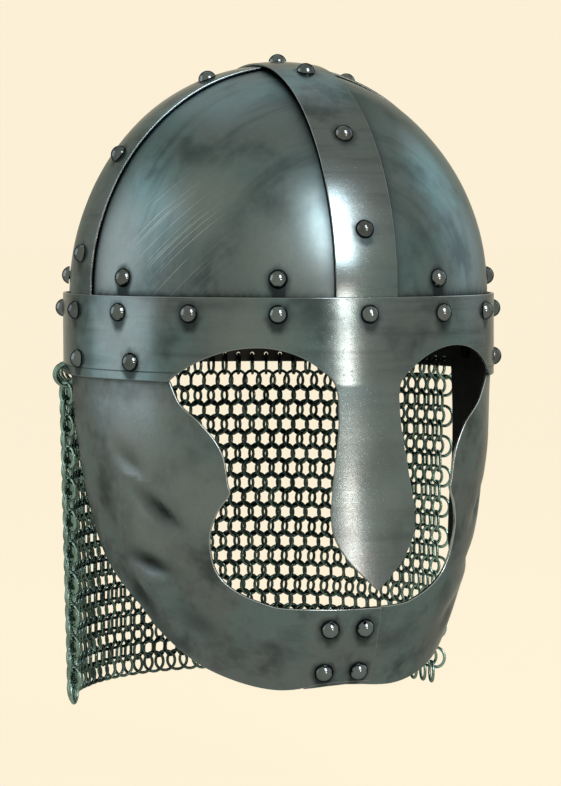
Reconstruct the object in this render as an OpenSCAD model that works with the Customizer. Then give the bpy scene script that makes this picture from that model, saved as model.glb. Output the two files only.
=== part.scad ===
// Viking helmet: four skull plates under a crossed pair of bands, a brow band with
// eye arches and a nose guard, two cheek plates lapped at the chin, a leather liner
// and a curtain of linked mail rings hung from the rear rim.
//
// Lengths are millimetres. The front of the helmet faces -Y, the wearer's left is +X
// and +Z is up. The origin is on the helmet's centre line, level with the lower edge
// of the brow band, where the wearer's head goes in.

/* [Brow band] */
// Half the outside width of the brow band, ear to ear
brow_half_w = 103.5; // [98:0.5:109]
// Half the outside length of the brow band, front to back
brow_half_l = 113; // [107:0.5:119]
// Height of the brow band
brow_h = 39; // [36:0.5:44]
// Thickness of the brow band
brow_t = 1.5; // [1.2:0.1:1.8]

/* [Eye arches and nose guard] */
// Distance from the centre line to the inner end of each eye arch
arch_inner_x = 17; // [15:0.5:19]
// Distance from the centre line to the outer end of each eye arch
arch_outer_x = 82; // [78:0.5:85]
// Height of the eye arches above the brow band's lower edge
arch_rise = 16; // [12:0.5:19]
// Half width of the nose guard at its neck
nose_neck_half_w = 15.2; // [14:0.1:16.5]
// Half width of the nose guard at its broadest
nose_leaf_half_w = 20.7; // [18:0.1:24]
// Length of the nose guard below the brow band
nose_len = 93.5; // [80:0.5:105]
// How far the nose guard leans forward for each millimetre down
nose_lean = 0.11; // [0.05:0.01:0.15]

/* [Skull] */
// Height of the skull plates above the brow band's upper edge
skull_h = 109; // [100:0.5:118]
// Thickness of the skull plates
skull_t = 1.5; // [1.2:0.1:1.8]
// Gap between neighbouring skull plates, hidden under the bands
seam_gap = 0.4; // [0.2:0.1:1]
// How far the skull plates and bands reach down behind the brow band
tuck = 13; // [12:0.5:16]

/* [Bands] */
// Width of the crest band where it meets the brow band
crest_w = 31; // [26:0.5:34]
// Width of the crest band at the crown
crest_crown_w = 28; // [24:0.5:31]
// Width of the cross band where it meets the brow band
cross_w = 30; // [26:0.5:34]
// Width of the cross band at the crown
cross_crown_w = 28; // [24:0.5:31]
// Thickness of both bands
band_t = 1.2; // [1:0.1:1.5]

/* [Cheek plates] */
// Thickness of the cheek plates
cheek_t = 1.5; // [1.2:0.1:1.8]
// Radius of the inward curve from the brow band down to the jaw
face_curve_r = 345; // [320:5:400]
// How far the cheek plates lean forward for each millimetre down
face_lean = 0.07; // [0.04:0.01:0.1]
// How far the cheek plates reach up behind the brow band
cheek_tuck = 15; // [13:0.5:18]
// How far off centre the hand-cut face opening sits, towards the wearer's left
opening_shift = -5; // [-7:0.5:0]
// Depth of the chin edge of the face opening below the brow band
opening_depth = 104.6; // [100:0.1:110]
// Overlap of the two cheek plates at the chin
lap_w = 32; // [28:0.5:36]
// Where the middle of the overlap sits, towards the wearer's left
lap_x = -4; // [-8:0.5:0]

/* [Rivets] */
// Diameter of the domed heads
head_d = 8.8; // [8:0.1:10]
// Height of the domed heads
head_h = 3.6; // [3:0.1:4.2]
// Diameter of the shanks
shank_d = 4.2; // [3.6:0.1:5]
// Diameter of the tails, hammered flat inside
tail_d = 7; // [6:0.1:8]
// Thickness of the tails
tail_h = 1.2; // [1:0.1:1.6]
// Number of rivets round the brow band
brow_rivets_n = 16; // [16:8:16]
// Distance of the brow rivets below the brow band's upper edge
brow_rivet_drop = 7.7; // [7:0.1:8.5]
// Distance of the skull rivets above the brow band's upper edge
panel_rivet_rise = 8.2; // [7.5:0.1:9]
// Height of the cheek rivets above the brow band's lower edge
cheek_rivet_z = 8.4; // [7.5:0.1:9.5]
// Depth of the upper pair of chin rivets
chin_upper_depth = 114; // [112.5:0.5:116]
// Distance between the upper and lower chin rivets
chin_rivet_drop = 21; // [18:0.5:22]
// Distance between the chin rivets of a pair
chin_rivet_gap = 17; // [15:0.5:19]

/* [Mail curtain] */
// Mean diameter of a mail ring
ring_d = 10.2; // [10:0.05:10.6]
// Diameter of the ring wire
wire_d = 1.15; // [0.9:0.05:1.2]
// Number of ring columns in the first row
columns = 41; // [37:2:43]
// Number of rows below the hanging rings
rows = 20; // [16:1:20]
// Height from one row to the next
row_pitch = 7.7; // [7.4:0.05:7.8]
// Turn of the rings out of the curtain, left and right in alternate rows
ring_turn = 24; // [20:1:28]
// Half angle that the curtain covers at the rim, measured from the back
span_top = 77.9; // [74:0.1:78.5]
// Half angle that the curtain covers at its lower edge
span_bottom = 77; // [76:0.1:78.5]
// Half width of the curtain's oval at its lower edge
hem_half_w = 98.5; // [96:0.5:102]
// Half length of the curtain's oval at its lower edge
hem_half_l = 116; // [113:0.5:118]
// Height of the hanging holes above the rim
hang_hole_z = 4; // [3.6:0.1:4.4]
// Diameter of the hanging holes
hang_hole_d = 2.6; // [2.4:0.1:3]

/* [Leather liner] */
// Thickness of the leather
liner_t = 2.2; // [1.8:0.1:2.6]
// Height of the liner's unslit band
liner_band_h = 14; // [12:0.5:15]
// Height of the liner's crown above the brow band's upper edge
liner_crown_h = 88; // [82:0.5:94]
// Width of the slits between the tongues
slit_w = 10; // [9:0.5:12]
// Radius of the laced ring at the crown
lace_ring_r = 28; // [24:0.5:34]
// Diameter of the lace
lace_d = 2.2; // [1.8:0.1:2.6]

/* [Fits] */
// Gap between plates that lie on each other
lay_gap = 0.1; // [0.05:0.05:0.2]
// Gap between the plates lapped at the chin
lap_gap = 0.15; // [0.1:0.05:0.3]
// Gap round a rivet's shank
shank_gap = 0.1; // [0.05:0.05:0.15]
// Gap under a rivet's head
seat_gap = 0.05; // [0.03:0.01:0.1]
// Gap between a rivet's tail and the plate it holds
tail_gap = 0.2; // [0.15:0.05:0.3]
// Gap between leather and its neighbours
leather_gap = 0.3; // [0.2:0.1:0.6]
// Slack between a hanging ring and the first row
ring_slack = 0.3; // [0.2:0.05:0.5]

/* [Hidden] */
$fn = 96;

// Turns of the revolved forms' seams, each clear of every hole
crown_seam = 34;
rim_seam = -12;
face_seam = 90;
brow_hole_seam = 90;

// Cutting shapes reach this far, past every piece
reach = 150;
hole_reach = 8;

// Half sizes [width, length] of the outside of each layer under the brow band
brow_out = [brow_half_w, brow_half_l];
brow_in = brow_out * (1 - brow_t / brow_half_w);
band_out = brow_in - [lay_gap, lay_gap];
skull_out = band_out - [band_t + lay_gap, band_t + 2 * lay_gap];
liner_out = skull_out - [skull_t + leather_gap, skull_t + 2 * leather_gap];

// Heights of the same layers' crowns above the brow band
cross_h = skull_h + lay_gap + band_t;
crest_h = cross_h + 2 * lay_gap + band_t;

// The cheek plates fit inside the brow band, and their oval keeps this ratio
cheek_out = brow_in - [lay_gap, lay_gap];
face_ratio = cheek_out[1] / cheek_out[0];
face_low = 160;
lap_right_x = lap_x + lap_w / 2;
lap_left_x = lap_x - lap_w / 2;

// The left plate leans less, so that it passes behind the right plate at the chin
lap_lean = (cheek_t * face_ratio + lap_gap) / (opening_depth - 3);
left_lean = face_lean - lap_lean;

// The inward curve tightens a little at the jaw and again at the chin. The arcs meet on
// lines with whole-number slopes, so that each starts exactly where the last one ends.
jaw_line = [24, -7];
chin_line = [165, -52];
jaw_step = 10;
chin_step = 0.06;
jaw_curve_r = face_curve_r - jaw_step;
chin_curve_r = jaw_curve_r - chin_step * norm(chin_line);
face_centre = [cheek_out[0] - face_curve_r, 0];
jaw_centre = face_centre + jaw_step * jaw_line / norm(jaw_line);
chin_centre = jaw_centre + chin_step * chin_line;

// Each arc starts this much before the last one ends, so that they join at any size
arc_lap = [0, 0.04];
top_line = [700, 100];
low_line = [600, -400];

// Half of the face opening's edge, [distance from the centre, height], brow to chin
opening_edge = [[81, 1], [75, -10], [64.5, -20], [57.5, -32], [55, -46], [54.2, -51],
    [58.5, -60], [60.3, -72], [57, -87], [49, -96], [36, 2.4 - opening_depth],
    [26, 0.6 - opening_depth], [0, -opening_depth]];

// Height over which the opening's shift grows to its full size
shift_ramp = 20;

// Rear and lower edge of a cheek plate seen from the side, [forward is -Y, height]
cheek_edge = [[14, 0], [9.5, -27], [4, -60], [-4, -84], [-18, -98.5], [-31, -110],
    [-42, -121], [-52, -130.5], [-62, -137], [-75, -143], [-82, -143.5], [-89, -140],
    [-100, -139]];

// Right half of the nose guard's edge, [distance from the centre, height], root to tip
nose_edge = [[arch_inner_x + 5, 6.2], [arch_inner_x, 0.6], [nose_neck_half_w + 0.3, -4],
    [nose_neck_half_w, -9], [nose_neck_half_w + 0.6, -22],
    [nose_leaf_half_w - 1.4, -0.49 * nose_len], [nose_leaf_half_w, -0.65 * nose_len],
    [nose_leaf_half_w - 1.4, -0.75 * nose_len], [13.6, -0.855 * nose_len],
    [5.5, -0.945 * nose_len], [0, -nose_len]];

// Rivet places: turns round the helmet, and angles up the bands
brow_turns = [for (k = [0 : brow_rivets_n - 1]) k * 360 / brow_rivets_n];
panel_turns = [for (k = [0 : 7]) 22.5 + 45 * k];
crest_angles = [16, 42, 71];
cross_angles = [10, 37, 69];
cheek_rivet_turns = [2, 27];
brow_rivet_z = brow_h - brow_rivet_drop;
panel_rivet_z = brow_h + panel_rivet_rise;
shank_r = shank_d / 2;
hole_r = shank_r + shank_gap;
head_ball_r = (head_d * head_d / 4 + head_h * head_h) / (2 * head_h);

// Mail: the curtain hangs from the middle of the brow band's thickness
ring_r = ring_d / 2;
rim_half_w = brow_half_w - brow_t / 2;
rim_half_l = brow_half_l - brow_t / 2;
hang_z = hang_hole_z - ring_r;
first_row_z = hang_z - ring_d + wire_d + ring_slack;
half_columns = (columns - 1) / 2;
back_columns = 7.75;
quarter_columns = 14.75;
top_rows = 3;

// Liner: lower and upper edge of its unslit band, and the hem that holds the lace
liner_low_z = brow_h + 0.5;
liner_band_z = liner_low_z + liner_band_h;
hem_bore_r = lace_d / 2 + leather_gap;
hem_r = hem_bore_r + liner_t * 0.8;
lace_z = brow_h + (liner_crown_h - liner_t / 2) * sqrt(1 - pow(lace_ring_r / liner_out[0], 2));

steel = [0.42, 0.45, 0.44];
dark_steel = [0.36, 0.39, 0.39];
bright_steel = [0.62, 0.64, 0.64];
mail_steel = [0.25, 0.33, 0.32];
leather = [0.25, 0.16, 0.1];

// Smooth curve through points, as short straight steps
function curve_point(a, b, c, d, t) = 0.5 * (2 * b + (c - a) * t
    + (2 * a - 5 * b + 4 * c - d) * t * t + (3 * b - a - 3 * c + d) * t * t * t);
function smooth_curve(p, steps) = let (n = len(p)) [
    for (i = [0 : n - 2], s = [0 : steps - 1])
        curve_point(p[max(i - 1, 0)], p[i], p[i + 1], p[min(i + 2, n - 1)], s / steps),
    p[n - 1]];

// Angle round an oval at which equal turns give equal distances along its edge
function oval_angle(turn, w, l) = let (k = (l * l - w * w) / (l * l + w * w) / 4)
    turn - k * 180 / PI * sin(2 * turn);

// Upright oval tube between two heights
module oval_tube(size, t, z0, z1) {
    scale([1, size[1] / size[0], 1]) rotate([0, 0, rim_seam]) translate([0, 0, z0]) difference() {
        cylinder(r = size[0], h = z1 - z0, $fn = 180);
        translate([0, 0, -1]) cylinder(r = size[0] - t, h = z1 - z0 + 2, $fn = 180);
    }
}

// Egg-shaped shell of crown height h, reaching down to a distance below the brow's top
module shell(size, h, t, down) {
    translate([0, 0, brow_h]) scale([size[0] / h, size[1] / h, 1]) rotate([0, 0, crown_seam])
        rotate_extrude($fn = 180) intersection() {
            difference() {
                circle(r = h, $fn = 180);
                circle(r = h - t, $fn = 180);
            }
            translate([0, -down]) square([h + 1, h + down + 1]);
        }
}

// Places its children on a wall or a crown, with +Z along the outward normal
module point_along(p, n) {
    translate(p) rotate([0, acos(n[2] / norm(n)), atan2(n[1], n[0])]) children();
}
module on_wall(size, turn, z) {
    a = oval_angle(turn, size[0], size[1]);
    point_along([size[0] * cos(a), size[1] * sin(a), z], [cos(a) / size[0], sin(a) / size[1], 0])
        children();
}
module on_crown(size, h, turn, up) {
    a = oval_angle(turn, size[0], size[1]);
    point_along([size[0] * cos(up) * cos(a), size[1] * cos(up) * sin(a), brow_h + h * sin(up)],
        [cos(up) * cos(a) / size[0], cos(up) * sin(a) / size[1], sin(up) / h]) children();
}

// Half height of the skull's wall at the skull rivets, as an angle up the crown
panel_up = asin(panel_rivet_rise / skull_h);

// A rivet whose head sits at z = 0 and whose tail lies under a stack of plates
module rivet(stack) {
    translate([0, 0, seat_gap]) intersection() {
        translate([0, 0, head_h - head_ball_r]) sphere(r = head_ball_r, $fn = 48);
        cylinder(d = head_d + 1, h = head_h + 1, $fn = 48);
    }
    translate([0, 0, -stack - tail_gap - tail_h / 2])
        cylinder(r = shank_r, h = stack + tail_gap + tail_h / 2 + head_h / 2, $fn = 48);
    translate([0, 0, -stack - tail_gap - tail_h]) cylinder(d = tail_d, h = tail_h, $fn = 48);
}
module rivet_hole(seam = 0) {
    rotate([0, 0, seam]) translate([0, 0, -hole_reach])
        cylinder(r = hole_r, h = 2 * hole_reach, $fn = 48);
}

// Where each family of rivets sits
module at_brow_rivets() {
    for (turn = brow_turns) on_wall(brow_out, turn, brow_rivet_z) children();
}
module at_panel_rivets() {
    for (turn = panel_turns) on_crown(skull_out, skull_h, turn, panel_up) children();
}
module at_cross_rivets() {
    for (turn = [0, 180], up = cross_angles) on_crown(band_out, cross_h, turn, up) children();
}
module at_crest_rivets() {
    for (turn = [90, 270], up = crest_angles) on_crown(band_out, crest_h, turn, up) children();
}
module at_apex_rivet() {
    translate([0, 0, brow_h + crest_h]) children();
}
module at_cheek_rivets(side) {
    for (turn = cheek_rivet_turns)
        mirror([side < 0 ? 1 : 0, 0, 0])
            on_wall(brow_out, -turn, cheek_rivet_z) children();
}

// Half width of the face at a depth near the chin, and how far forward a point on it is
function face_w(d) = chin_centre[0] + sqrt(pow(chin_curve_r, 2) - pow(d + chin_centre[1], 2));
function face_y(x, d) = -face_ratio * sqrt(pow(face_w(d), 2) - x * x) - face_lean * d;
function face_normal(x, d) = let (s = 0.5)
    cross([s, face_y(x + s / 2, d) - face_y(x - s / 2, d), 0],
        [0, face_y(x, d - s / 2) - face_y(x, d + s / 2), s]);
module at_chin_rivets() {
    for (sx = [-1, 1], drop = [0, chin_rivet_drop]) {
        x = lap_x + sx * chin_rivet_gap / 2;
        d = chin_upper_depth + drop;
        point_along([x, face_y(x, d), -d], face_normal(x, d)) children();
    }
}

// Skull plates

module skull_holes() {
    at_brow_rivets() rivet_hole();
    at_panel_rivets() rivet_hole();
    at_cross_rivets() rivet_hole();
    at_crest_rivets() rivet_hole();
    at_apex_rivet() rivet_hole();
}
module dome_plate(sx, sy) {
    color(steel) difference() {
        intersection() {
            shell(skull_out, skull_h, skull_t, tuck);
            translate([sx * (reach + seam_gap) / 2, sy * (reach + seam_gap) / 2, 0])
                cube([reach, reach, 3 * reach], center = true);
        }
        skull_holes();
    }
}
module dome_plate_front_right() { dome_plate(-1, -1); }
module dome_plate_front_left() { dome_plate(1, -1); }
module dome_plate_rear_right() { dome_plate(-1, 1); }
module dome_plate_rear_left() { dome_plate(1, 1); }

// Bands: strips of the crown's shell, a little narrower at the top

module strip(end_w, crown_w, end_x) {
    linear_extrude(height = 2 * reach)
        polygon([[-end_x, -end_w / 2], [0, -crown_w / 2], [end_x, -end_w / 2],
            [end_x, end_w / 2], [0, crown_w / 2], [-end_x, end_w / 2]]);
}
module cross_band() {
    color(steel) difference() {
        intersection() {
            shell(band_out, cross_h, band_t, tuck);
            strip(cross_w, cross_crown_w, brow_half_w + 10);
        }
        at_cross_rivets() rivet_hole();
        at_apex_rivet() rivet_hole();
        at_brow_rivets() rivet_hole();
    }
}
module crest_band() {
    color(steel) difference() {
        intersection() {
            shell(band_out, crest_h, band_t, tuck);
            rotate([0, 0, 90]) strip(crest_w, crest_crown_w, brow_half_l + 10);
        }
        at_crest_rivets() rivet_hole();
        at_apex_rivet() rivet_hole();
        at_brow_rivets() rivet_hole();
    }
}

// Brow band with its eye arches and nose guard in one piece

arch_half = (arch_outer_x - arch_inner_x) / 2;
arch_r = (arch_half * arch_half + arch_rise * arch_rise) / (2 * arch_rise);
module nose_outline() {
    right = smooth_curve(nose_edge, 4);
    left = [for (i = [len(right) - 2 : -1 : 0]) [-right[i][0], right[i][1]]];
    polygon(concat(right, left));
}
module eye_arches() {
    rotate([90, 0, 0]) linear_extrude(height = reach) difference() {
        for (side = [-1, 1])
            translate([side * (arch_inner_x + arch_half), arch_rise - arch_r])
                circle(r = arch_r, $fn = 144);
        nose_outline();
    }
}
module nose_guard() {
    intersection() {
        multmatrix([[1, 0, 0, 0], [0, 1, nose_lean, 0], [0, 0, 1, 0], [0, 0, 0, 1]])
            oval_tube(brow_out, brow_t, -nose_len - 5, 0);
        rotate([90, 0, 0]) linear_extrude(height = reach) nose_outline();
    }
}
module brow_band() {
    color(dark_steel) {
        difference() {
            oval_tube(brow_out, brow_t, 0, brow_h);
            eye_arches();
            at_brow_rivets() rivet_hole(brow_hole_seam);
            at_cheek_rivets(-1) rivet_hole(brow_hole_seam);
            at_cheek_rivets(1) rivet_hole(brow_hole_seam);
            at_columns() rotate([0, 90, 0])
                translate([0, 0, -5]) cylinder(d = hang_hole_d, h = 10, $fn = 24);
        }
        nose_guard();
    }
}

// Cheek plates: an oval barrel that leans forward, trimmed by the face opening

module wall_arc(centre, r, line0, line1) {
    intersection() {
        translate(centre) difference() {
            circle(r = r, $fn = 720);
            circle(r = r - cheek_t, $fn = 720);
        }
        polygon([centre, centre + line0, centre + line1]);
    }
}
module face_shell(lean) {
    multmatrix([[1, 0, 0, 0], [0, face_ratio, lean, 0], [0, 0, 1, 0], [0, 0, 0, 1]])
        rotate([0, 0, face_seam]) rotate_extrude($fn = 180) intersection() {
            union() {
                wall_arc(face_centre, face_curve_r, top_line, 28 * jaw_line);
                wall_arc(jaw_centre, jaw_curve_r, 28 * jaw_line + arc_lap, 4 * chin_line);
                wall_arc(chin_centre, chin_curve_r, 4 * chin_line + arc_lap, low_line);
            }
            translate([0, -face_low]) square([cheek_out[0] + 1, face_low + cheek_tuck]);
        }
}
module cheek_side() {
    p = smooth_curve(cheek_edge, 4);
    translate([-reach, 0, 0]) rotate([90, 0, 90]) linear_extrude(height = 2 * reach)
        polygon(concat([[-reach, cheek_tuck + 5], [p[0][0] + 1.5, cheek_tuck + 5]], p,
            [[-reach, p[len(p) - 1][1]]]));
}
module face_opening(side) {
    half = [for (q = smooth_curve(opening_edge, 5))
        [side * q[0] + opening_shift * min(1, max(0, -q[1] / shift_ramp)), q[1]]];
    rotate([90, 0, 0]) linear_extrude(height = reach)
        polygon(concat([[-side * reach, cheek_tuck + 5], [side * (arch_outer_x + 5), cheek_tuck + 5]],
            half, [[-side * reach, -opening_depth]]));
}
module cheek_plate(side, lean, end_x) {
    color(steel) difference() {
        intersection() {
            face_shell(lean);
            cheek_side();
            translate([side > 0 ? end_x : end_x - 2 * reach, -reach, -2 * reach])
                cube([2 * reach, 2 * reach, 3 * reach]);
        }
        face_opening(side);
        at_cheek_rivets(side) rivet_hole();
        at_chin_rivets() rivet_hole();
    }
}
module cheek_plate_right() { cheek_plate(-1, face_lean, lap_right_x); }
module cheek_plate_left() { cheek_plate(1, left_lean, lap_left_x); }

// Rivets

tuck_sag = 0.6;
panel_stack = skull_t + 3 * leather_gap + liner_t * liner_out[1] / liner_crown_h;
brow_stack = brow_t + 3 * lay_gap + band_t + skull_t + tuck_sag;
cheek_stack = brow_t + lay_gap + cheek_t + tuck_sag;
module brow_rivets() {
    color(bright_steel) at_brow_rivets() rivet(brow_stack);
}
module panel_rivets() {
    color(bright_steel) at_panel_rivets() rivet(panel_stack);
}
module cross_band_rivets() {
    color(bright_steel) at_cross_rivets() rivet(band_t + lay_gap + skull_t);
}
module crest_band_rivets() {
    color(bright_steel) for (turn = [90, 270], up = crest_angles)
        on_crown(band_out, crest_h, turn, up)
            rivet(band_t + lay_gap + skull_t + (crest_h - cross_h) * sin(up));
}
module apex_rivet() {
    color(bright_steel) at_apex_rivet() rivet(crest_h - skull_h + skull_t);
}
module cheek_rivets_right() {
    color(bright_steel) at_cheek_rivets(-1) rivet(cheek_stack);
}
module cheek_rivets_left() {
    color(bright_steel) at_cheek_rivets(1) rivet(cheek_stack);
}
module chin_rivets() {
    color(bright_steel) for (sx = [-1, 1], drop = [0, chin_rivet_drop]) {
        x = lap_x + sx * chin_rivet_gap / 2;
        d = chin_upper_depth + drop;
        point_along([x, face_y(x, d), -d], face_normal(x, d))
            rivet(cheek_t + lap_lean * d + lap_gap);
    }
}

// Leather liner: a band slit into eight tongues, drawn together by a lace

module leather_liner() {
    color(leather) difference() {
        union() {
            difference() {
                shell(liner_out, liner_crown_h, liner_t, brow_h - liner_low_z);
                cylinder(r = lace_ring_r, h = 2 * reach);
            }
            translate([0, 0, lace_z]) rotate_extrude()
                translate([lace_ring_r, 0]) circle(r = hem_r, $fn = 32);
        }
        translate([0, 0, lace_z]) rotate_extrude()
            translate([lace_ring_r, 0]) circle(r = hem_bore_r, $fn = 32);
        for (turn = [0, 45, 90, 135]) rotate([0, 0, turn])
            translate([-reach, -slit_w / 2, liner_band_z]) cube([2 * reach, slit_w, reach]);
        at_panel_rivets() rivet_hole();
    }
}
module liner_lace() {
    color([0.5, 0.4, 0.28]) translate([0, 0, lace_z]) rotate_extrude()
        translate([lace_ring_r, 0]) circle(d = lace_d, $fn = 24);
}

// Mail: every ring passes through two rings above it and two below it

function mix(a, b, t) = a + (b - a) * t;
module mail_place(column, row, turn) {
    t = row / rows;
    w = mix(rim_half_w, hem_half_w, t);
    l = mix(rim_half_l, hem_half_l, t);
    a = oval_angle(90 + column * mix(span_top, span_bottom, t) / half_columns, w, l);
    z = row == 0 ? hang_z : first_row_z - (row - 1) * row_pitch;
    translate([w * cos(a), l * sin(a), z]) rotate([0, 0, atan2(sin(a) / l, cos(a) / w) + turn])
        children();
}
module ring() {
    rotate([0, 90, 0]) rotate_extrude($fn = 24) translate([ring_r, 0]) circle(d = wire_d, $fn = 16);
}
module at_columns() {
    for (c = [-half_columns : half_columns])
        mail_place(c, 0, 0) translate([0, 0, hang_hole_z - hang_z]) children();
}
module mail(first_row, last_row, first_column, last_column) {
    color(mail_steel) for (row = [first_row : last_row]) {
        shift = row % 2 == 0 ? 0.5 : 0;
        for (c = [-half_columns + shift : half_columns])
            if (c > first_column && c < last_column)
                mail_place(c, row, row % 2 == 0 ? -ring_turn : ring_turn) ring();
    }
}
module hanging_rings() {
    color(mail_steel) for (c = [-half_columns : half_columns]) mail_place(c, 0, 90) ring();
}
module mail_side_right() { mail(1, rows, quarter_columns, columns); }
module mail_quarter_right() { mail(1, rows, back_columns, quarter_columns); }
module mail_back_top() { mail(1, top_rows, -back_columns, back_columns); }
module mail_back() { mail(top_rows + 1, rows, -back_columns, back_columns); }
module mail_quarter_left() { mail(1, rows, -quarter_columns, -back_columns); }
module mail_side_left() { mail(1, rows, -columns, -quarter_columns); }

dome_plate_front_right();
dome_plate_front_left();
dome_plate_rear_right();
dome_plate_rear_left();
cross_band();
crest_band();
brow_band();
cheek_plate_right();
cheek_plate_left();
brow_rivets();
panel_rivets();
cross_band_rivets();
crest_band_rivets();
apex_rivet();
cheek_rivets_right();
cheek_rivets_left();
chin_rivets();
leather_liner();
liner_lace();
hanging_rings();
mail_side_right();
mail_quarter_right();
mail_back_top();
mail_back();
mail_quarter_left();
mail_side_left();
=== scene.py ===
"""Viking helmet: riveted skull, brow band, cheek plates, liner and mail, dressed for its portrait.

Lengths in the classes are millimetres on the helmet itself: the front faces -Y, the wearer's
left is +X, and the brow band's lower edge is at zero. Meshes are written in metres.
"""

import logging
import math
import random
from dataclasses import dataclass, field
from enum import Enum
from typing import Callable, Optional, Sequence, Union

import bpy
import numpy as np
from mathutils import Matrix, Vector, kdtree
from mathutils.geometry import delaunay_2d_cdt


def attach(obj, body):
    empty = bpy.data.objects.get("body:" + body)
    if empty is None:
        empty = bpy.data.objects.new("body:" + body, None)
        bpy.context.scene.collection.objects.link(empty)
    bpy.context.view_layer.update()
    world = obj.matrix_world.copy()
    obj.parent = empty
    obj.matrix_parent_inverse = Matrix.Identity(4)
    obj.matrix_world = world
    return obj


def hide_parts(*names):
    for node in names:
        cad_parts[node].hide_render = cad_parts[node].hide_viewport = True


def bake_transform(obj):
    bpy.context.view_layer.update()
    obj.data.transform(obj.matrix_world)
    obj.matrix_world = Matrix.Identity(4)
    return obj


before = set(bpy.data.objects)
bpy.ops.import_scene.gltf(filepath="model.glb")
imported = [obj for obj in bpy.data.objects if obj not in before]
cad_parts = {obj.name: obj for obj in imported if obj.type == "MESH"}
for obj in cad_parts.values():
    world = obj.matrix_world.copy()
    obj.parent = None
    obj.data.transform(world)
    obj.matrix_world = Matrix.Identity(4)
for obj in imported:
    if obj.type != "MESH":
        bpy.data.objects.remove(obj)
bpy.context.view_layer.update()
LOG = logging.getLogger("helmet")
MM = 0.001
TWELFTHS = np.arange(12) * math.pi / 6
HELMET = "helmet"
PANEL = "mail_back_panel"
Colour = tuple[float, float, float]
Surface = Callable[[np.ndarray, np.ndarray], np.ndarray]


class Slot(Enum):
    """The helmet's material slots."""

    SKULL = "skull_steel"
    BAND = "band_steel"
    CHEEK = "cheek_steel"
    RIVET = "rivet_steel"
    MAIL = "mail_steel"
    LINER = "liner_leather"
    LACE = "lace_leather"


class Side(Enum):
    """The wearer's right is -X and the wearer's left is +X."""

    RIGHT = -1
    LEFT = 1


# Shader expressions


class Wire:
    """An output of a shader node, with arithmetic."""

    def __init__(self, graph: "Graph", socket: Optional[bpy.types.NodeSocket]) -> None:
        """Keeps the socket and the graph that it belongs to."""
        self.graph = graph
        self.socket = socket

    def _maths(self, operation: str, *terms: Union["Wire", float]) -> "Wire":
        """Adds one Math node.

        Args:
            operation: the Math node's operation.
            terms: its values, in order.

        Returns:
            The node's result.
        """
        return self.graph.node("ShaderNodeMath", {"operation": operation}, dict(enumerate(terms)))

    def __add__(self, other: Union["Wire", float]) -> "Wire":
        """Sum."""
        return self._maths("ADD", self, other)

    def __radd__(self, other: float) -> "Wire":
        """Sum with the number first."""
        return self._maths("ADD", other, self)

    def __sub__(self, other: Union["Wire", float]) -> "Wire":
        """Difference."""
        return self._maths("SUBTRACT", self, other)

    def __rsub__(self, other: float) -> "Wire":
        """Difference with the number first."""
        return self._maths("SUBTRACT", other, self)

    def __mul__(self, other: Union["Wire", float]) -> "Wire":
        """Product."""
        return self._maths("MULTIPLY", self, other)

    def __rmul__(self, other: float) -> "Wire":
        """Product with the number first."""
        return self._maths("MULTIPLY", other, self)

    def size(self) -> "Wire":
        """The value without its sign."""
        return self._maths("ABSOLUTE", self)

    def clipped(self) -> "Wire":
        """The value kept between 0 and 1."""
        return self._maths("MAXIMUM", self._maths("MINIMUM", self, 1.0), 0.0)


Value = Union[Wire, float, Sequence[float]]


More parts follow.
